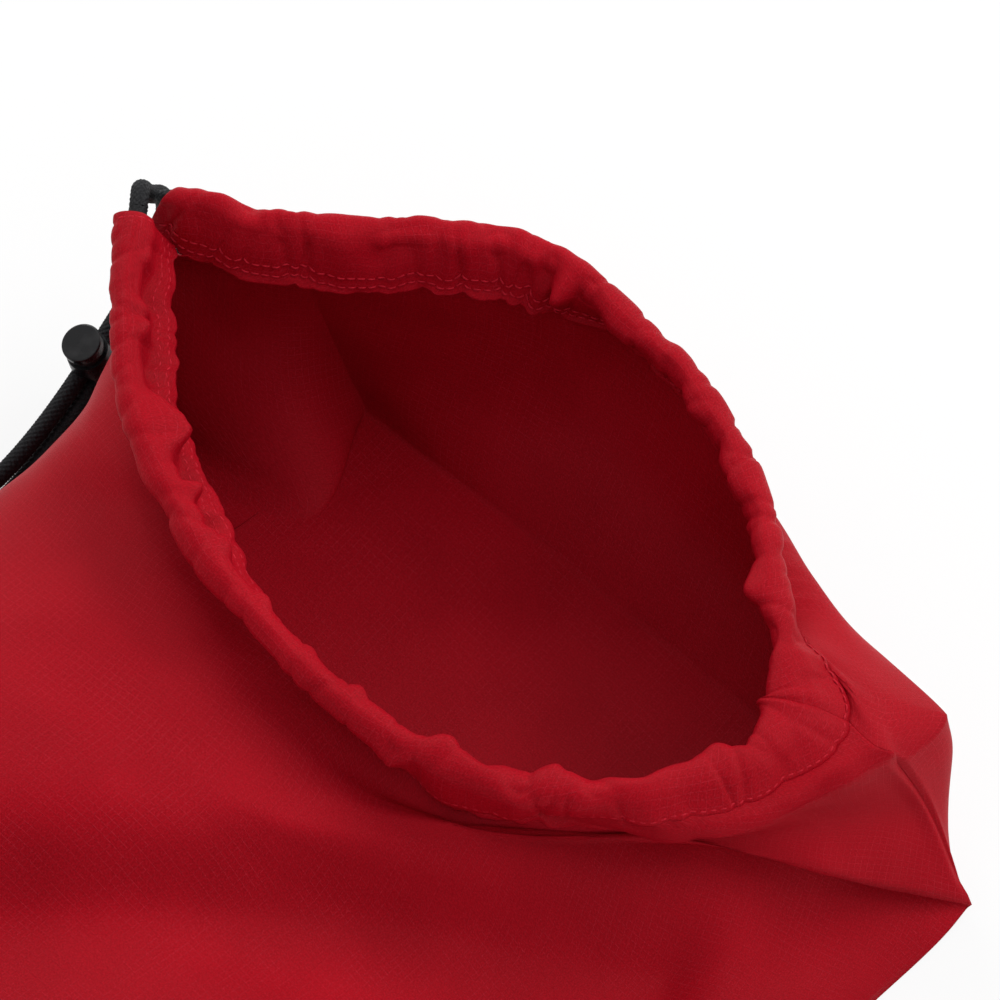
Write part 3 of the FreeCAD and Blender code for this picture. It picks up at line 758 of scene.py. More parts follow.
# Gathered folds and hollows of the casing: place along the rim, width before and after it, push out and
# lift, and the section row and reach that it covers.
FRONT_LOBES = [
    (11, 5, 4, -1.8, 0.2, 3.0, 0.8), (20, 5, 3, 1.2, -2.2, 2.2, 0.9), (31, 6, 4, -3.0, 0.4, 3.0, 0.9),
    (42, 5, 4, 0.8, -1.2, 2.2, 0.9), (64, 11, 3.8, -8.2, 0.0, 3.0, 0.85), (55, 5, 4, 1.6, -2.6, 1.8, 0.7),
    (75.5, 3.4, 2.4, 1.4, -2.4, 2.4, 0.9), (81.5, 3.0, 2.2, -5.0, 0.6, 3.0, 0.8),
    (88.5, 2.8, 3.4, 1.2, -2.2, 2.3, 0.9), (98, 5, 4, -2.4, 0.3, 3.0, 0.8),
    (107, 3.4, 3, 1.0, -1.6, 2.4, 0.9), (116, 5, 4, -2.2, 0.4, 3.0, 0.8), (124, 3, 3, 0.9, -1.4, 2.4, 0.9),
    (132, 4, 4, -2.0, 0.4, 3.0, 0.8), (140, 3.4, 3.4, 1.0, -1.6, 2.6, 0.9),
    (150, 5, 4, -2.4, 0.4, 3.0, 0.9), (160, 3, 3, 1.2, -1.4, 3.0, 1.2),
    (166, 3.0, 2.4, 1.6, -2.6, 6.4, 1.5), (176, 5, 4, -2.4, 1.0, 4.2, 1.2),
    (187, 3.4, 3, 1.2, -1.6, 3.4, 1.2), (196, 4, 3, 2.4, -2.0, 5.6, 1.5), (205, 5, 4, -2.2, 0.8, 4.0, 1.1),
    (214, 2.6, 2.6, 1.0, -2.2, 5.0, 1.2), (226, 6, 5, 2.2, 0.4, 4.6, 1.4),
    (238, 3, 3, 1.0, -1.4, 3.4, 1.1), (246, 5, 4, -2.4, 0.6, 4.2, 1.1), (254, 2.5, 2, 2.2, -1.4, 4.0, 1.0)]
REAR_LOBES = [
    (12, 5, 5, 0.6, 1.0, 4.6, 1.6), (21, 3.6, 3.4, -0.8, -2.0, 5.0, 1.5), (30, 5, 5, 0.8, 0.6, 4.8, 1.2),
    (44, 7, 6, -1.2, 0.4, 3.2, 1.1), (54, 4, 4, 0.6, -1.2, 2.6, 1.1), (62, 7, 6, 0.9, -0.6, 4.6, 1.4),
    (74, 5, 4, -1.0, 0.5, 3.4, 1.0), (83, 3.6, 3, 0.9, -1.6, 4.8, 1.5), (92, 4, 2.2, -2.2, 0.6, 3.4, 1.1),
    (98, 2.4, 2.2, 1.0, -1.6, 3.0, 1.0), (104, 4.6, 2.4, -5.4, -0.4, 2.8, 1.0),
    (109, 2.6, 3.4, 1.4, -2.0, 3.8, 1.4), (122, 5, 5, -1.4, 0.4, 3.2, 1.0),
    (130, 3, 3, 0.8, -1.2, 3.0, 1.0), (139, 5, 5, 1.2, -0.6, 4.2, 1.2), (150, 4, 4, -1.4, 0.3, 3.2, 1.0),
    (160, 4, 4, 1.0, -1.2, 3.6, 1.2), (172, 5, 5, -1.4, 0.5, 3.4, 1.1), (184, 4, 4, 1.2, -1.4, 4.0, 1.2),
    (196, 4, 3, 0.8, -1.4, 3.0, 1.0), (206, 6, 4, -4.0, 0.6, 3.6, 1.1),
    (219, 3.4, 3.2, 3.2, -1.6, 3.8, 1.2)]
# Gathers: share, section row and reach of the rows with more of them, and their share everywhere.
GATHER_ROWS = ((0.55, 1.6, 1.8), (0.35, 8.4, 1.6))
GATHER_EVERYWHERE = 0.25
# Each kind of gather: depth, slant, stretch up the section, and scale along the rim.
FINE_GATHERS = (0.6, 0.6, 1.4, 4.2)
BROAD_GATHERS = (1.2, -0.9, 1.6, 11.0)
CREASES = ((1.0, 1.1, 0.6, 9.0), (0.8, -0.8, 0.6, 6.0))
CREASE_DEPTH = 2.1
CREASE_WIDTH = 0.4  # of the noise, each side of a crease
CREASE_POWER = 1.5  # higher is sharper
SCALLOP_DEPTH = 0.7  # of the hem edge
SCALLOPS = ((1.0, 3.1, 77), (0.6, 7.3, 78))  # share, scale and seed


def station_points(stations):
    return [(x, y, rim_z(x, y) + lift) for x, y, lift, section in stations]


def station_frames(stations, line, side, columns):
    """Places along the cord's line, and the direction across it that points out of the mouth."""
    points = np.array(station_points(stations))
    places = np.linalg.norm(points[:, None] - line[None], axis=2).argmin(axis=1)
    at = np.linspace(0.0, len(stations) - 1.0, columns)
    index = np.interp(at, np.arange(len(stations)), places)
    path = read_line(index, np.arange(len(line)), line)
    tangent = unit_rows(np.gradient(path, axis=0))
    return at, path, side * unit_rows(np.cross(tangent, RIM_UP))


def slanted_noise(run, across, kind, seed):
    slant, stretch, scale = kind
    return soft_noise(run + slant * across, across * stretch, scale, seed)


def gather_depth(run, across, seed):
    """How far gathers push each point of the casing out, and the narrow creases between them pull it in."""
    rows = sum(share * bump(across, row, reach) for share, row, reach in GATHER_ROWS) + GATHER_EVERYWHERE
    fine = FINE_GATHERS[0] * slanted_noise(run, across, FINE_GATHERS[1:], seed)
    broad = BROAD_GATHERS[0] * slanted_noise(run, across, BROAD_GATHERS[1:], seed + 1)
    creased = 0.0
    for number, (share, *kind) in enumerate(CREASES):
        wave = slanted_noise(run, across, kind, seed + 2 + number)
        creased = creased + share * np.maximum(0.0, 1.0 - np.abs(wave) / CREASE_WIDTH) ** CREASE_POWER
    return rows * (fine + broad - CREASE_DEPTH * creased)


def shape_section(section, run, row_at, lobes):
    """Pushes the casing's folds and hollows into its sections, and scallops its hem edge."""
    for place, before, after, push, lift, row, reach in lobes:
        past = run[None, :] - place
        width = np.where(past < 0, before, after)
        share = np.exp(-(past / width) ** 2) * bump(row_at[:, None], row, reach)
        section[..., 0] += push * share
        section[..., 1] += lift * share
    scallop = sum(share * line_noise(run, scale, seed) for share, scale, seed in SCALLOPS)
    section[..., 0] += SCALLOP_DEPTH * scallop[None, :] * smooth_step(1.0 - row_at)[:, None]


def keep_clear(grid, path, clearance):
    """Moves points that are too near the cord's line straight away from it."""
    away = grid - path[None]
    reach = np.maximum(np.linalg.norm(away, axis=-1, keepdims=True), 0.1)
    return path[None] + away * np.maximum(1.0, clearance / reach)


def casing_grid(stations, line, side, lobes, seed):
    """Points of the casing, rows from the hem edge inside to the foot outside, columns along the rim."""
    columns = (len(stations) - 1) * COLUMN_STEPS + 1
    at, path, out = station_frames(stations, line, side, columns)
    sections = np.array([section for x, y, lift, section in stations], float)
    smooth = interpolate(np.arange(len(stations)), sections, at).transpose(1, 0, 2)
    points = len(smooth)
    row_at = np.linspace(0.0, points - 1.0, (points - 1) * SECTION_STEPS + 1)
    fold = np.tile(np.array(FOLD_CREASE)[:, None], (1, columns))
    section = interpolate(np.arange(points), smooth, row_at, fold)
    run = run_lengths(path)
    shape_section(section, run, row_at, lobes)
    grid = path[None] + out[None] * section[..., :1] + RIM_UP * section[..., 1:]
    grid = keep_clear(grid, path, CASING_INSIDE)
    outward = unit_rows(grid - path[None])
    depth = gather_depth(run[None, :], row_at[:, None], seed)
    depth -= SEAM_GROOVE * bump(run[-1] - run, 0.0, SEAM_GROOVE_WIDTH)[None, :]
    return keep_clear(grid + outward * depth[..., None], path, CORD_CLEAR)


def running_mean(values, reach):
    """Mean over the rows within reach of each row."""
    padded = np.concatenate([values[:1]] * reach + [values] + [values[-1:]] * reach)
    total = np.cumsum(np.concatenate([np.zeros_like(values[:1]), padded]), axis=0)
    width = 2 * reach + 1
    return (total[width:] - total[:-width]) / width


def cloth_uv(grid):
    """The cloth's own flat coordinates: across from the middle column, and along from the last row."""
    rows, columns = grid.shape[:2]
    down = np.linalg.norm(np.diff(grid, axis=0), axis=2)
    along = np.concatenate([np.zeros((1, columns)), np.cumsum(down, axis=0)])
    along = along[-1:] - along
    sideways = np.linalg.norm(np.diff(grid, axis=1), axis=2)
    across = np.concatenate([np.zeros((rows, 1)), np.cumsum(sideways, axis=1)], axis=1)
    across -= across[:, columns // 2][:, None]
    return np.stack([running_mean(across, UV_REACH[0]), running_mean(along.T, UV_REACH[1]).T], axis=-1)


# ---- panels ----

# Points along the base, from the left corner to the right: both panels end inside the base binding.
BASE_STATIONS = 11
BASE_HEIGHTS = (1.5, 0.35)  # of the front and the back panel there


def base_row(height):
    pitch = CLOTH_WIDTH / (BASE_STATIONS - 1)
    return [(pitch * step - CLOTH_WIDTH / 2, BASE_Y - BASE_TUCK, height) for step in range(BASE_STATIONS)]


# Rows of the front panel from just under the casing to the base, each from the left seam to the right seam.
FRONT_ROWS = [
    [(-126, 122, 52), (-119, 102, 56), (-94, 82, 60), (-63, 68, 60), (-32, 62, 60), (3, 61, 60),
     (31, 69, 58), (56, 83, 59.5), (77.8, 99.5, 60.2), (87.2, 122, 58.8), (91, 147.5, 58.6)],
    [(-122, 118, 40), (-120, 97, 45), (-100, 77, 57), (-68, 62, 59), (-34, 56, 59.5), (3, 55, 59),
     (34, 63, 55), (57.5, 84, 57.5), (79.5, 99.5, 57.3), (90, 122.6, 57), (95.2, 150.3, 57)],
    [(-120, 113, 27), (-119.5, 92, 33), (-104, 71, 53), (-72, 55, 58.5), (-36, 48, 60), (5, 48, 59.5),
     (38, 64, 56), (62, 88, 53), (83, 116.5, 46), (95, 140, 39), (103, 157, 30)],
    [(-118.5, 108, 14), (-119.5, 85, 22), (-107, 65, 49), (-75, 48, 58.5), (-38, 39, 61), (8, 42, 60.5),
     (44, 68, 56.5), (70, 96, 50), (93, 122, 35), (105.5, 137, 20), (118, 156.5, 3)],
    [(-118, 105, 5), (-120, 78, 14), (-108.5, 59, 46), (-77, 42, 58.5), (-39, 31, 62), (9, 35, 61),
     (46, 68, 53), (68, 101.5, 41), (87.5, 128, 27), (101.0, 141.5, 14), (117.6, 155.6, 2)],
    [(-117.5, 103, 0.8), (-120.5, 72, 10), (-110, 52, 44), (-80, 34, 59), (-40, 24, 63), (10, 28, 61.5),
     (53, 60, 49.5), (78, 91, 35), (96, 117, 17), (108, 131, 8.5), (118.6, 148, 1.0)],
    [(-120, 72, 0.5), (-123.5, 40, 12), (-112, 24, 42), (-84, 12, 59), (-42, 6, 66), (8, 6, 63.5),
     (60, 30, 48), (88, 57, 30), (105, 77, 16), (115, 92, 7), (119.5, 116, 0.4)],
    [(-123.5, 35, 0.4), (-128, 4, 13), (-116, -10, 38), (-88, -20, 54), (-44, -25, 63), (8, -24, 63),
     (56, -8, 54.5), (88, 12, 38), (107, 28, 22), (116.5, 44, 8), (120.5, 78, 0.4)],
    [(-131, -38, 0.4), (-134, -56, 8), (-121, -64, 24), (-92, -72, 39), (-46, -76, 48), (5, -76, 50),
     (54, -70, 46), (90, -60, 34), (110, -48, 20), (122.5, -36, 8), (129, -12, 0.4)],
    [(-140, -105, 0.4), (-138, -112, 4), (-123, -119, 9), (-92, -125, 17), (-47, -128, 21.5),
     (4, -129, 22.5), (54, -127, 20), (92, -123, 16), (116, -118, 9), (132, -112, 4), (140.5, -105, 0.4)],
    base_row(BASE_HEIGHTS[0]),
]
# Creases: row, stations, and how sharp they are.
FRONT_ROW_CREASES = ((2, slice(7, None), 1.0), (2, 6, 0.5), (4, slice(7, None), 1.0), (4, 6, 0.5),
                     (5, slice(7, None), 0.8), (5, 6, 0.4))
FRONT_ROW_STEPS = [8, 9, 10, 10, 8, 10, 18, 22, 26, 22, 18]
# A long soft valley runs from the ridge at the right corner across the front panel.
VALLEY_ROW = 5  # no valley above this row
VALLEY_FADE = 16.0  # grid rows
VALLEY_START = (100.0, 102.0)
VALLEY_END = (-60.0, -66.0)
VALLEY_ENDS = (25.0, 60.0)  # lengths over which it deepens at its start and fades out at its end
VALLEY_DEPTH = 13.0
VALLEY_OFFSET = 3.0
VALLEY_WIDTHS = (30.0, 15.0)  # towards the base, towards the mouth
VALLEY_LOW = (12.0, 20.0)  # height of the cloth where it starts, and its fade above that

# Rows of the back panel from just under the casing, down its mouth wall to the fold, and along the floor.
REAR_ROWS = [
    [(-121, 118, 52), (-110, 135, 50), (-99, 145.5, 52), (-76, 162, 47), (-56, 177, 44), (-33.5, 191, 41),
     (-4, 189.5, 41), (24.5, 182, 41.5), (51, 172, 45), (80, 160, 54), (94.5, 151, 56)],
    [(-119.5, 115, 38), (-108, 134, 33), (-101.5, 147, 38), (-76, 161.5, 35), (-54, 175, 33),
     (-32, 188, 31), (-3, 185, 31), (26, 181, 32), (55.5, 174, 40), (93, 171, 46.5), (96, 156, 52)],
    [(-118, 110, 22), (-100, 130, 20), (-97, 148, 23), (-73, 158, 21), (-51, 168, 18.5), (-29, 178, 17),
     (0, 177, 17), (29, 176, 18), (58, 173, 24), (97, 169.5, 34), (100.5, 159, 37)],
    [(-116.5, 105, 8), (-88, 124, 8.5), (-90, 147.6, 9.5), (-68, 153.5, 10), (-47, 160, 9), (-25, 166, 9),
     (4, 166, 9), (32, 167, 9), (60, 165, 10), (98, 164, 12), (111, 160.5, 12)],
    [(-115, 98, 1.4), (-74, 118, 1.6), (-84, 147, 0.6), (-62, 149.2, 0.6), (-42, 151, 0.6),
     (-20, 152.5, 0.6), (7, 154, 0.6), (35, 155.5, 0.6), (62, 156.5, 0.6), (95, 157, 1.0), (119, 157, 3)],
    [(-120, 66, 0.4), (-86, 92, 1.0), (-80, 108, 0.5), (-60, 116, 0.5), (-38, 118, 0.5), (-16, 119, 0.5),
     (10, 120, 0.5), (36, 121, 0.5), (64, 122, 0.5), (94, 124, 0.5), (117.5, 136, 0.5)],
    [(-123.5, 35, 0.3), (-102, 40, 0.3), (-80, 44, 0.3), (-56, 46, 0.3), (-33, 47, 0.3), (-9, 48, 0.3),
     (15, 49, 0.3), (39, 50, 0.3), (65, 54, 0.3), (95, 62, 0.3), (120.5, 78, 0.3)],
    [(-131, -38, 0.3), (-108, -38, 0.3), (-82, -38, 0.3), (-56, -38, 0.3), (-30, -38, 0.3), (-4, -38, 0.3),
     (22, -38, 0.3), (48, -37, 0.3), (73, -34, 0.3), (100, -26, 0.3), (129, -12, 0.3)],
    base_row(BASE_HEIGHTS[1]),
]
REAR_ROW_STEPS = [8, 12, 12, 12, 10, 20, 22, 24, 24]
REAR_FLOOR_ROW = 3  # the floor of the bag starts here
FLOOR_REACH = 6  # points that smooth the floor's height under a side binding
# Creases along its rows and along its columns: rows, stations, and how sharp they are.
REAR_ROW_CREASES = ((5, slice(2, None), 1.0), (5, 2, 0.3), (2, slice(9, None), 1.0), (2, 8, 0.4))
REAR_COLUMN_CREASES = ((slice(0, 5), 2, 0.9), (slice(1, 4), 9, 0.5))

# Lengths over which wrinkles rise from the casing, the base and the sides, and the cloth's least height.
FRONT_EDGES = (6.0, 12.0, 10.0, 0.45)
REAR_EDGES = (5.0, 12.0, 8.0, 0.3)


def mean_knots(rows):
    """Knots for a net's rows, spaced by the mean distance from each row to the next."""
    steps = [np.linalg.norm(np.subtract(low, high), axis=1).mean() for low, high in zip(rows, rows[1:])]
    return np.concatenate([[0.0], np.cumsum(steps)])


def panel_grid(foot, rows, row_steps, row_sharp, column_sharp):
    """Fine grid of a panel: its foot follows the casing, the other rows are curves through their points."""
    stations = np.arange(len(rows[0]))
    at = np.linspace(0.0, stations[-1], len(foot))
    net = [interpolate(stations, row, at, sharp) for row, sharp in zip(rows, column_sharp)]
    net = np.concatenate([foot[None], np.stack(net)])
    sharp = interpolate(stations, row_sharp.T[..., None], at)[..., 0].T
    knots = mean_knots(net)
    marks = [np.linspace(low, high, steps, endpoint=False)
             for low, high, steps in zip(knots, knots[1:], row_steps)]
    return interpolate(knots, net, np.concatenate(marks + [knots[-1:]]), sharp)


def creased(rows, row_creases, column_creases=()):
    """Sharpness of a panel's rows, foot first, and of its columns."""
    columns = len(rows[0])
    row_sharp = np.zeros((len(rows) + 1, columns))
    column_sharp = np.zeros((len(rows), columns))
    for sharp, creases in ((row_sharp, row_creases), (column_sharp, column_creases)):
        for place, stations, amount in creases:
            sharp[place, stations] = amount
    return row_sharp, column_sharp


def press_valley(grid):
    """Presses the long valley into the front panel where it stands off the floor, below the ridge."""
    route = np.subtract(VALLEY_END, VALLEY_START)
    length = np.linalg.norm(route)
    along = route / length
    away = grid[..., :2] - VALLEY_START
    run = away @ along
    share = smooth_step(run / VALLEY_ENDS[0]) * smooth_step((length - run) / VALLEY_ENDS[1])
    on_top = smooth_step((grid[..., 2] - VALLEY_LOW[0]) / VALLEY_LOW[1])
    past = away @ (-along[1], along[0]) - VALLEY_OFFSET
    profile = np.exp(-(past / np.where(past > 0, *VALLEY_WIDTHS)) ** 2)
    below_ridge = smooth_step((np.arange(len(grid)) - sum(FRONT_ROW_STEPS[:VALLEY_ROW])) / VALLEY_FADE)
    pressed = grid.copy()
    pressed[..., 2] -= VALLEY_DEPTH * share * on_top * below_ridge[:, None] * profile
    return pressed


def cloth_places(grid):
    """How far each point lies from the casing along the cloth, and from the left side of the flat panel."""
    along = cloth_uv(grid)[..., 1]
    across = np.linspace(0.0, CLOTH_WIDTH, grid.shape[1])
    return along[:1] - along, np.tile(across, (len(grid), 1))


def wrinkled(grid, depth, along, across, edges):
    """Moves a panel's points along its normals, except at its edges, and keeps them off the floor."""
    casing, base, sides, lowest = edges
    edge = smooth_step(along / casing) * smooth_step((along[-1:] - along) / base)
    side = smooth_step(across / sides) * smooth_step((CLOTH_WIDTH - across) / sides)
    moved = grid + grid_normals(grid) * (depth * edge * side)[..., None]
    moved[..., 2] = np.maximum(moved[..., 2], lowest)
    return moved


def front_wrinkles(grid):
    """Soft folds that run from the gathered casing into the front panel, and slack in the body."""
    along, across = cloth_places(grid)
    folds = soft_noise(across + 0.25 * along, along * 0.35, 9.0, seed=11)
    slack = soft_noise(across * 0.8 + 0.5 * along, along * 0.5 - 0.2 * across, 42.0, seed=12)
    ripples = soft_noise(across, along, 14.0, seed=13)
    depth = 0.9 * np.exp(-along / 28.0) * folds
    depth += 1.5 * slack * smooth_step(along / 30.0)
    depth += 0.35 * ripples * smooth_step(along / 12.0)
    return wrinkled(grid, depth, along, across, FRONT_EDGES)


def rear_wrinkles(grid):
    """Soft folds under the casing, and slack in the mouth wall and the first of the floor."""
    along, across = cloth_places(grid)
    folds = soft_noise(across, along * 0.4, 9.0, seed=21)
    slack = soft_noise(across, along, 30.0, seed=22)
    depth = 0.8 * np.exp(-along / 22.0) * folds
    depth += slack * smooth_step(along / 16.0) * smooth_step((95.0 - along) / 40.0)
    return wrinkled(grid, depth, along, across, REAR_EDGES)


def fade_in(grid, column, shift):
    """Moves one edge column by a shift for each row, and the columns beside it by less and less."""
    inwards = -1 if column < 0 else 1
    for step in range(COLUMN_STEPS):
        grid[:, column + inwards * step] += shift * smooth_step(1.0 - step / COLUMN_STEPS)


def join_columns(first, second, column):
    """Brings the same column of two grids together on their mean, fading over the columns beside it."""
    middle = (first[:, column] + second[:, column]) / 2
    for grid in (first, second):
        fade_in(grid, column, middle - grid[:, column])


def follow_edge(grid, column, edge):
    """Moves an edge column of a grid onto the nearest points of another panel's edge."""
    fine = interpolate(np.arange(len(edge)), edge, np.linspace(0, len(edge) - 1, EDGE_STEPS * len(edge)))
    away = np.linalg.norm(grid[:, column][:, None] - fine[None], axis=2)
    fade_in(grid, column, fine[away.argmin(axis=1)] - grid[:, column])


def sink_seam(grid):
    """Draws the right side seam into the bag, in a narrow groove between the mouth and the floor."""
    height = grid[:, -1, 2]
    share = smooth_step((height - SEAM_LOW[0]) / SEAM_LOW[1])
    share *= smooth_step((SEAM_HIGH[0] - height) / SEAM_HIGH[1])
    for step in range(SEAM_COLUMNS):
        grid[:, -1 - step] += np.array(SEAM_SINK) * (share * smooth_step(1.0 - step / SEAM_COLUMNS))[:, None]


def add_bag(red, rim, tail_back):
    """Both panels and both casings; the rear casing runs on over the start of the rear tail."""
    rear_line = np.concatenate([rim, tail_back[1:OVERHANG_STEPS]])
    front_casing = casing_grid(FRONT_STATIONS, rim, 1, FRONT_LOBES, seed=31)
    rear_casing = casing_grid(REAR_STATIONS, rear_line, -1, REAR_LOBES, seed=41)
    join_columns(front_casing, rear_casing, -1)
    sharp = creased(FRONT_ROWS, FRONT_ROW_CREASES)
    front = panel_grid(front_casing[-1], FRONT_ROWS, FRONT_ROW_STEPS, *sharp)
    front = front_wrinkles(press_valley(front))
    sharp = creased(REAR_ROWS, REAR_ROW_CREASES, REAR_COLUMN_CREASES)
    rear = rear_wrinkles(panel_grid(rear_casing[-1], REAR_ROWS, REAR_ROW_STEPS, *sharp))
    follow_edge(rear, -1, front[:, -1])
    follow_edge(rear, 0, front[:, 0])
    sink_seam(front)
    sink_seam(rear)
    for name, grid, nodes in (("front_cloth", front, ("front_panel",)),
                              ("back_cloth", rear, ("back_panel", "back_mouth_wall")),
                              ("casing_front_cloth", front_casing, ("casing_front",)),
                              ("casing_back_cloth", rear_casing, ("casing_back",))):
        cloth = grid_object(name, grid, cloth_uv(grid))
        thicken(finish_piece(cloth, red, "ripstop_red", "bag", *nodes))
    return front_casing, rear_casing, rear


# ---- bindings and base loop ----

def rounded_outline(width, height, radius):
    """Closed outline of a flat band seen along it, centred across and standing on its lower side."""
    points = []
    for corner, (side, top) in enumerate(((1, 0), (1, 1), (-1, 1), (-1, 0))):
        for step in range(OUTLINE_STEPS + 1):
            angle = math.pi / 2 * (corner - 1 + step / OUTLINE_STEPS)
            points.append((side * (width / 2 - radius) + radius * math.cos(angle),
                           top * height + (1 - 2 * top) * radius + radius * math.sin(angle)))
    return np.array(points)


def band_object(name, line, across, up, outline):
    """Band swept along a line, with end faces; its UV is how far across and along it a point lies."""
    grid = line[:, None] + across[:, None] * outline[None, :, :1] + up[:, None] * outline[None, :, 1:]
    uv = np.stack(np.broadcast_arrays(outline[None, :, 0], run_lengths(line)[:, None]), axis=-1)
    piece = grid_object(name, grid, uv, closed=True)
    work = bmesh.new()
    work.from_mesh(piece.data)
    corners = list(work.verts)
    for ring in (corners[:len(outline)], corners[:-len(outline) - 1:-1]):
        work.faces.new(ring)
    bmesh.ops.recalc_face_normals(work, faces=work.faces)
    work.to_mesh(piece.data)
    work.free()
    return piece


def floor_under(grid, line):
    """Height of a panel's floor under each point of a line."""
    floor = grid[sum(REAR_ROW_STEPS[:REAR_FLOOR_ROW]):].reshape(-1, 3)
    nearest = np.linalg.norm(line[:, None, :2] - floor[None, :, :2], axis=2).argmin(axis=1)
    return running_mean(floor[nearest, 2], FLOOR_REACH)


def side_fold(y, fold):
    """X of the bag's flat side fold, straight from the base corner to the fold's top."""
    share = (y - BASE_Y) / (fold[1] - BASE_Y)
    return math.copysign(CLOTH_WIDTH / 2, fold[0]) * (1.0 - share) + fold[0] * share


def add_side_bindings(rear, tape, thread):
    for name, fold in (("left", FOLD_LEFT), ("right", FOLD_RIGHT)):
        side = math.copysign(1.0, fold[0])
        y = np.linspace(BASE_Y + BINDING_START, fold[1] - BINDING_END, TAPE_STEPS)
        x = side_fold(y, fold) - side * (BINDING_INSET + BINDING_WIDTH / 2)
        x += BINDING_WANDER * line_noise(y, scale=24.0, seed=61)
        line = np.stack([x, y, np.zeros_like(y)], axis=1)
        line[:, 2] = floor_under(rear, line) + BINDING_LIFT
        up = same_rows(UP, line)
        outline = rounded_outline(BINDING_WIDTH, BINDING_THICK, BINDING_ROUND)
        outline[:, 1] += BINDING_CROWN * np.cos(outline[:, 0] / BINDING_WIDTH * 2 * math.pi)
        band = band_object(f"side_binding_{name}", line, same_rows(RIGHT, line), up, outline)
        finish_piece(band, tape, "binding_red", "bag", f"seam_binding_{name}")
        top = line + (-side * BINDING_STITCHES * BINDING_WIDTH, 0.0, BINDING_THICK)
        add_stitches(f"stitches_binding_{name}", top, up, thread)


def add_base_binding(tape, thread):
    x = np.linspace(-CLOTH_WIDTH / 2, CLOTH_WIDTH / 2, BASE_TAPE_STEPS)
    lift = BASE_BINDING_LIFT * (1.0 + line_noise(x, scale=11.0, seed=62))
    line = np.stack([x, np.full_like(x, BASE_Y - BASE_BINDING_DEPTH / 2), lift], axis=1)
    across = same_rows((0.0, 1.0, 0.0), line)
    height = BASE_BINDING_HEIGHT - BASE_BINDING_LOW
    outline = rounded_outline(BASE_BINDING_DEPTH, height, BASE_BINDING_ROUND)
    band = band_object("base_binding_tape", line, across, same_rows(UP, line), outline)
    finish_piece(band, tape, "binding_red", "bag", "base_binding")
    add_stitches("stitches_base", line + (0.0, BASE_STITCHES, height), same_rows(UP, line), thread)


def add_base_loop(webbing, black_thread):
    at = np.linspace(0.0, len(LOOP_SIDE) - 1.0, LOOP_STEPS)
    side = interpolate(np.arange(len(LOOP_SIDE)), LOOP_SIDE, at)
    line = np.stack([np.zeros(len(side)), side[:, 0], side[:, 1]], axis=1)
    across = same_rows(RIGHT, line)
    up = np.cross(across, unit_rows(np.gradient(line, axis=0)))
    outline = rounded_outline(WEBBING_WIDTH, WEBBING_THICK, WEBBING_ROUND) - (0.0, WEBBING_THICK / 2)
    band = band_object("base_loop_webbing", line, across, up, outline)
    finish_piece(band, webbing, "webbing_black", "bag", "base_loop")
    upper = side[len(side) // 2:]
    for number, back in enumerate(LOOP_STITCHES):
        x = np.linspace(-LOOP_STITCHES_HALF, LOOP_STITCHES_HALF, LOOP_STITCH_STEPS)
        y = BASE_Y - BASE_BINDING_DEPTH - back
        z = np.interp(y, upper[:, 0], upper[:, 1]) + WEBBING_THICK / 2
        row = np.stack([x, np.full_like(x, y), np.full_like(x, z)], axis=1)
        normal = same_rows(LOOP_STITCHES_UP, row)
        add_stitches(f"stitches_loop_{number}", row, normal, black_thread, "webbing_black")


# ---- stitches ----

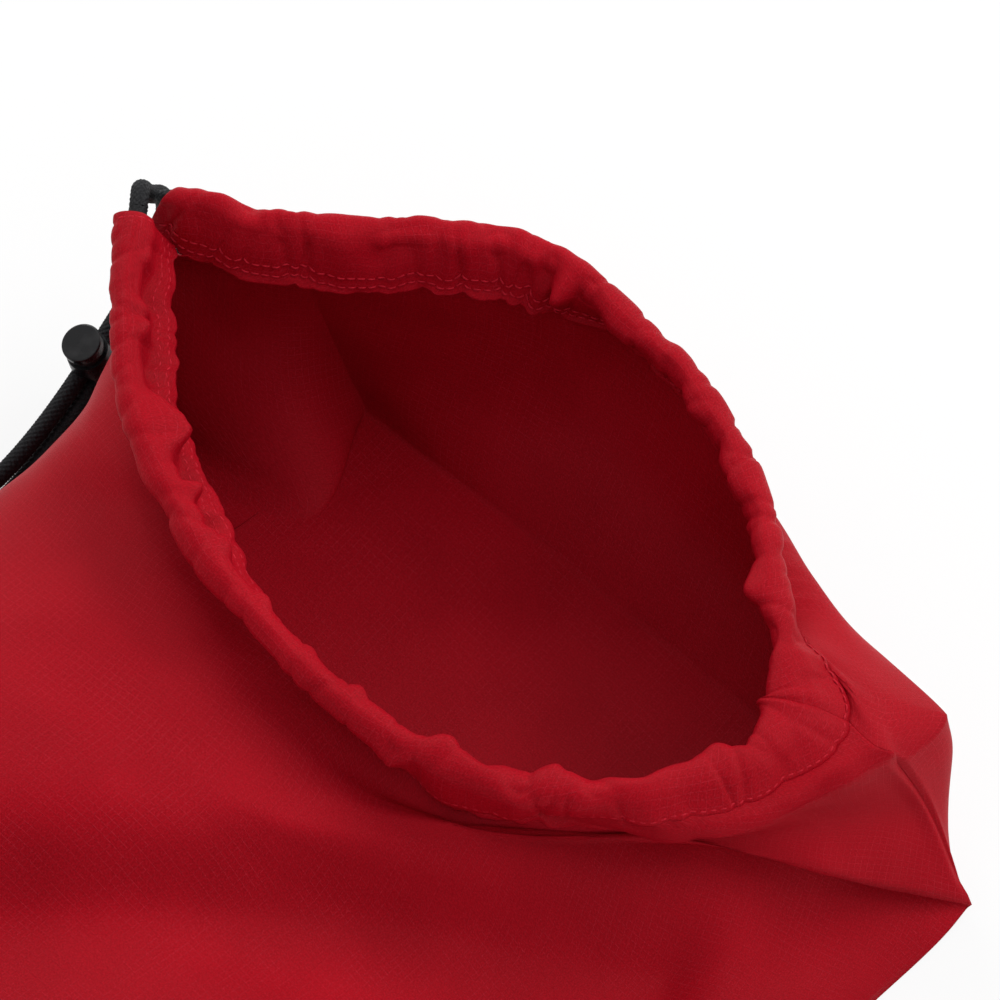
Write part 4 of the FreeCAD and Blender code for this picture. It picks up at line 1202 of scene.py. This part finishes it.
def add_stitches(name, line, normal, material, slot="binding_red"):
    """A row of stitches along a line on the cloth: each dips into the cloth at its two ends."""
    lengths = run_lengths(line)
    stations = np.linspace(0.0, 1.0, STITCH_RINGS)
    swell = np.sqrt(np.maximum(STITCH_LEAST, 1.0 - (2 * stations - 1) ** 2))
    reach = (STITCH_WIDTH / 2 * (STITCH_TAPER + (1.0 - STITCH_TAPER) * swell))[:, None, None]
    angle = (2 * math.pi * np.arange(STITCH_AROUND) / STITCH_AROUND)[None, :, None]
    index = np.arange(STITCH_RINGS * STITCH_AROUND).reshape(STITCH_RINGS, STITCH_AROUND)
    after = np.roll(index, -1, axis=1)
    sides = np.stack([index[:-1], after[:-1], after[1:], index[1:]], axis=-1).reshape(-1, 4)
    points = []
    faces = []
    for start in np.arange(STITCH_FIRST, lengths[-1] - STITCH_LENGTH, STITCH_PITCH):
        at = start + stations * STITCH_LENGTH
        centre = read_line(at, lengths, line)
        up = unit_rows(read_line(at, lengths, normal))
        side = unit_rows(np.cross(unit_rows(np.gradient(centre, axis=0)), up))
        centre = centre + up * (STITCH_LIFT + STITCH_RISE * swell)[:, None]
        first = len(points) * index.size
        points.append(centre[:, None] + side[:, None] * np.cos(angle) * reach
                      + up[:, None] * np.sin(angle) * reach * STITCH_FLATNESS)
        faces += (first + sides).tolist()
        faces += [(first + index[0, ::-1]).tolist(), (first + index[-1]).tolist()]
    return finish_piece(add_mesh(name, points, faces), material, slot, "bag")


def facing(normal, towards):
    """Normals turned to the side that a direction points to."""
    return normal * np.sign((normal * towards).sum(axis=1, keepdims=True))


def add_casing_stitches(front_casing, rear_casing, thread):
    """Rows of stitches along both casings, on the side that each shows on."""
    centre = front_casing.reshape(-1, 3).mean(axis=0) / 2 + rear_casing.reshape(-1, 3).mean(axis=0) / 2
    for name, grid in (("front", front_casing), ("rear", rear_casing)):
        normals = grid_normals(grid)
        for label, row, side in CASING_STITCHES:
            low = int(row * SECTION_STEPS)
            share = row * SECTION_STEPS - low
            line = grid[low] * (1 - share) + grid[low + 1] * share
            towards = side * unit_rows((centre - line) * (1, 1, 0)) + CASING_STITCHES_UP
            add_stitches(f"stitches_{name}_{label}", line, facing(normals[low], towards), thread)


def add_end_stitches(front_casing, thread):
    """Hem at the casing's open front end, sewn across it over the fold."""
    rows = slice(*(int(row * SECTION_STEPS) for row in END_HEM_ROWS))
    line = front_casing[rows, END_HEM]
    outward = line - front_casing[:, END_HEM].mean(axis=0)
    normal = facing(grid_normals(front_casing)[rows, END_HEM], outward)
    add_stitches("stitches_front_end", line, normal, thread)


def paint_lock():
    plastic = plastic_material()
    for node, material in zip(LOCK_NODES, (plastic, plastic, steel_material())):
        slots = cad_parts[node].data.materials
        slots.clear()
        slots.append(material)


def main():
    bpy.context.scene.view_settings.view_transform = "Standard"
    add_camera()
    add_world()
    add_stage()
    add_lights()
    paint_lock()
    thread = thread_material()
    cord = cord_material()
    tape = tape_material()
    rim = rim_line()
    tails = add_cords(cord, rim)
    knot = add_knot(cord)
    front_casing, rear_casing, rear = add_bag(ripstop_material(), rim, tails[1][1])
    add_casing_stitches(front_casing, rear_casing, thread)
    add_end_stitches(front_casing, thread)
    add_side_bindings(rear, tape, thread)
    add_base_binding(tape, thread)
    add_base_loop(webbing_material(), cord)


main()
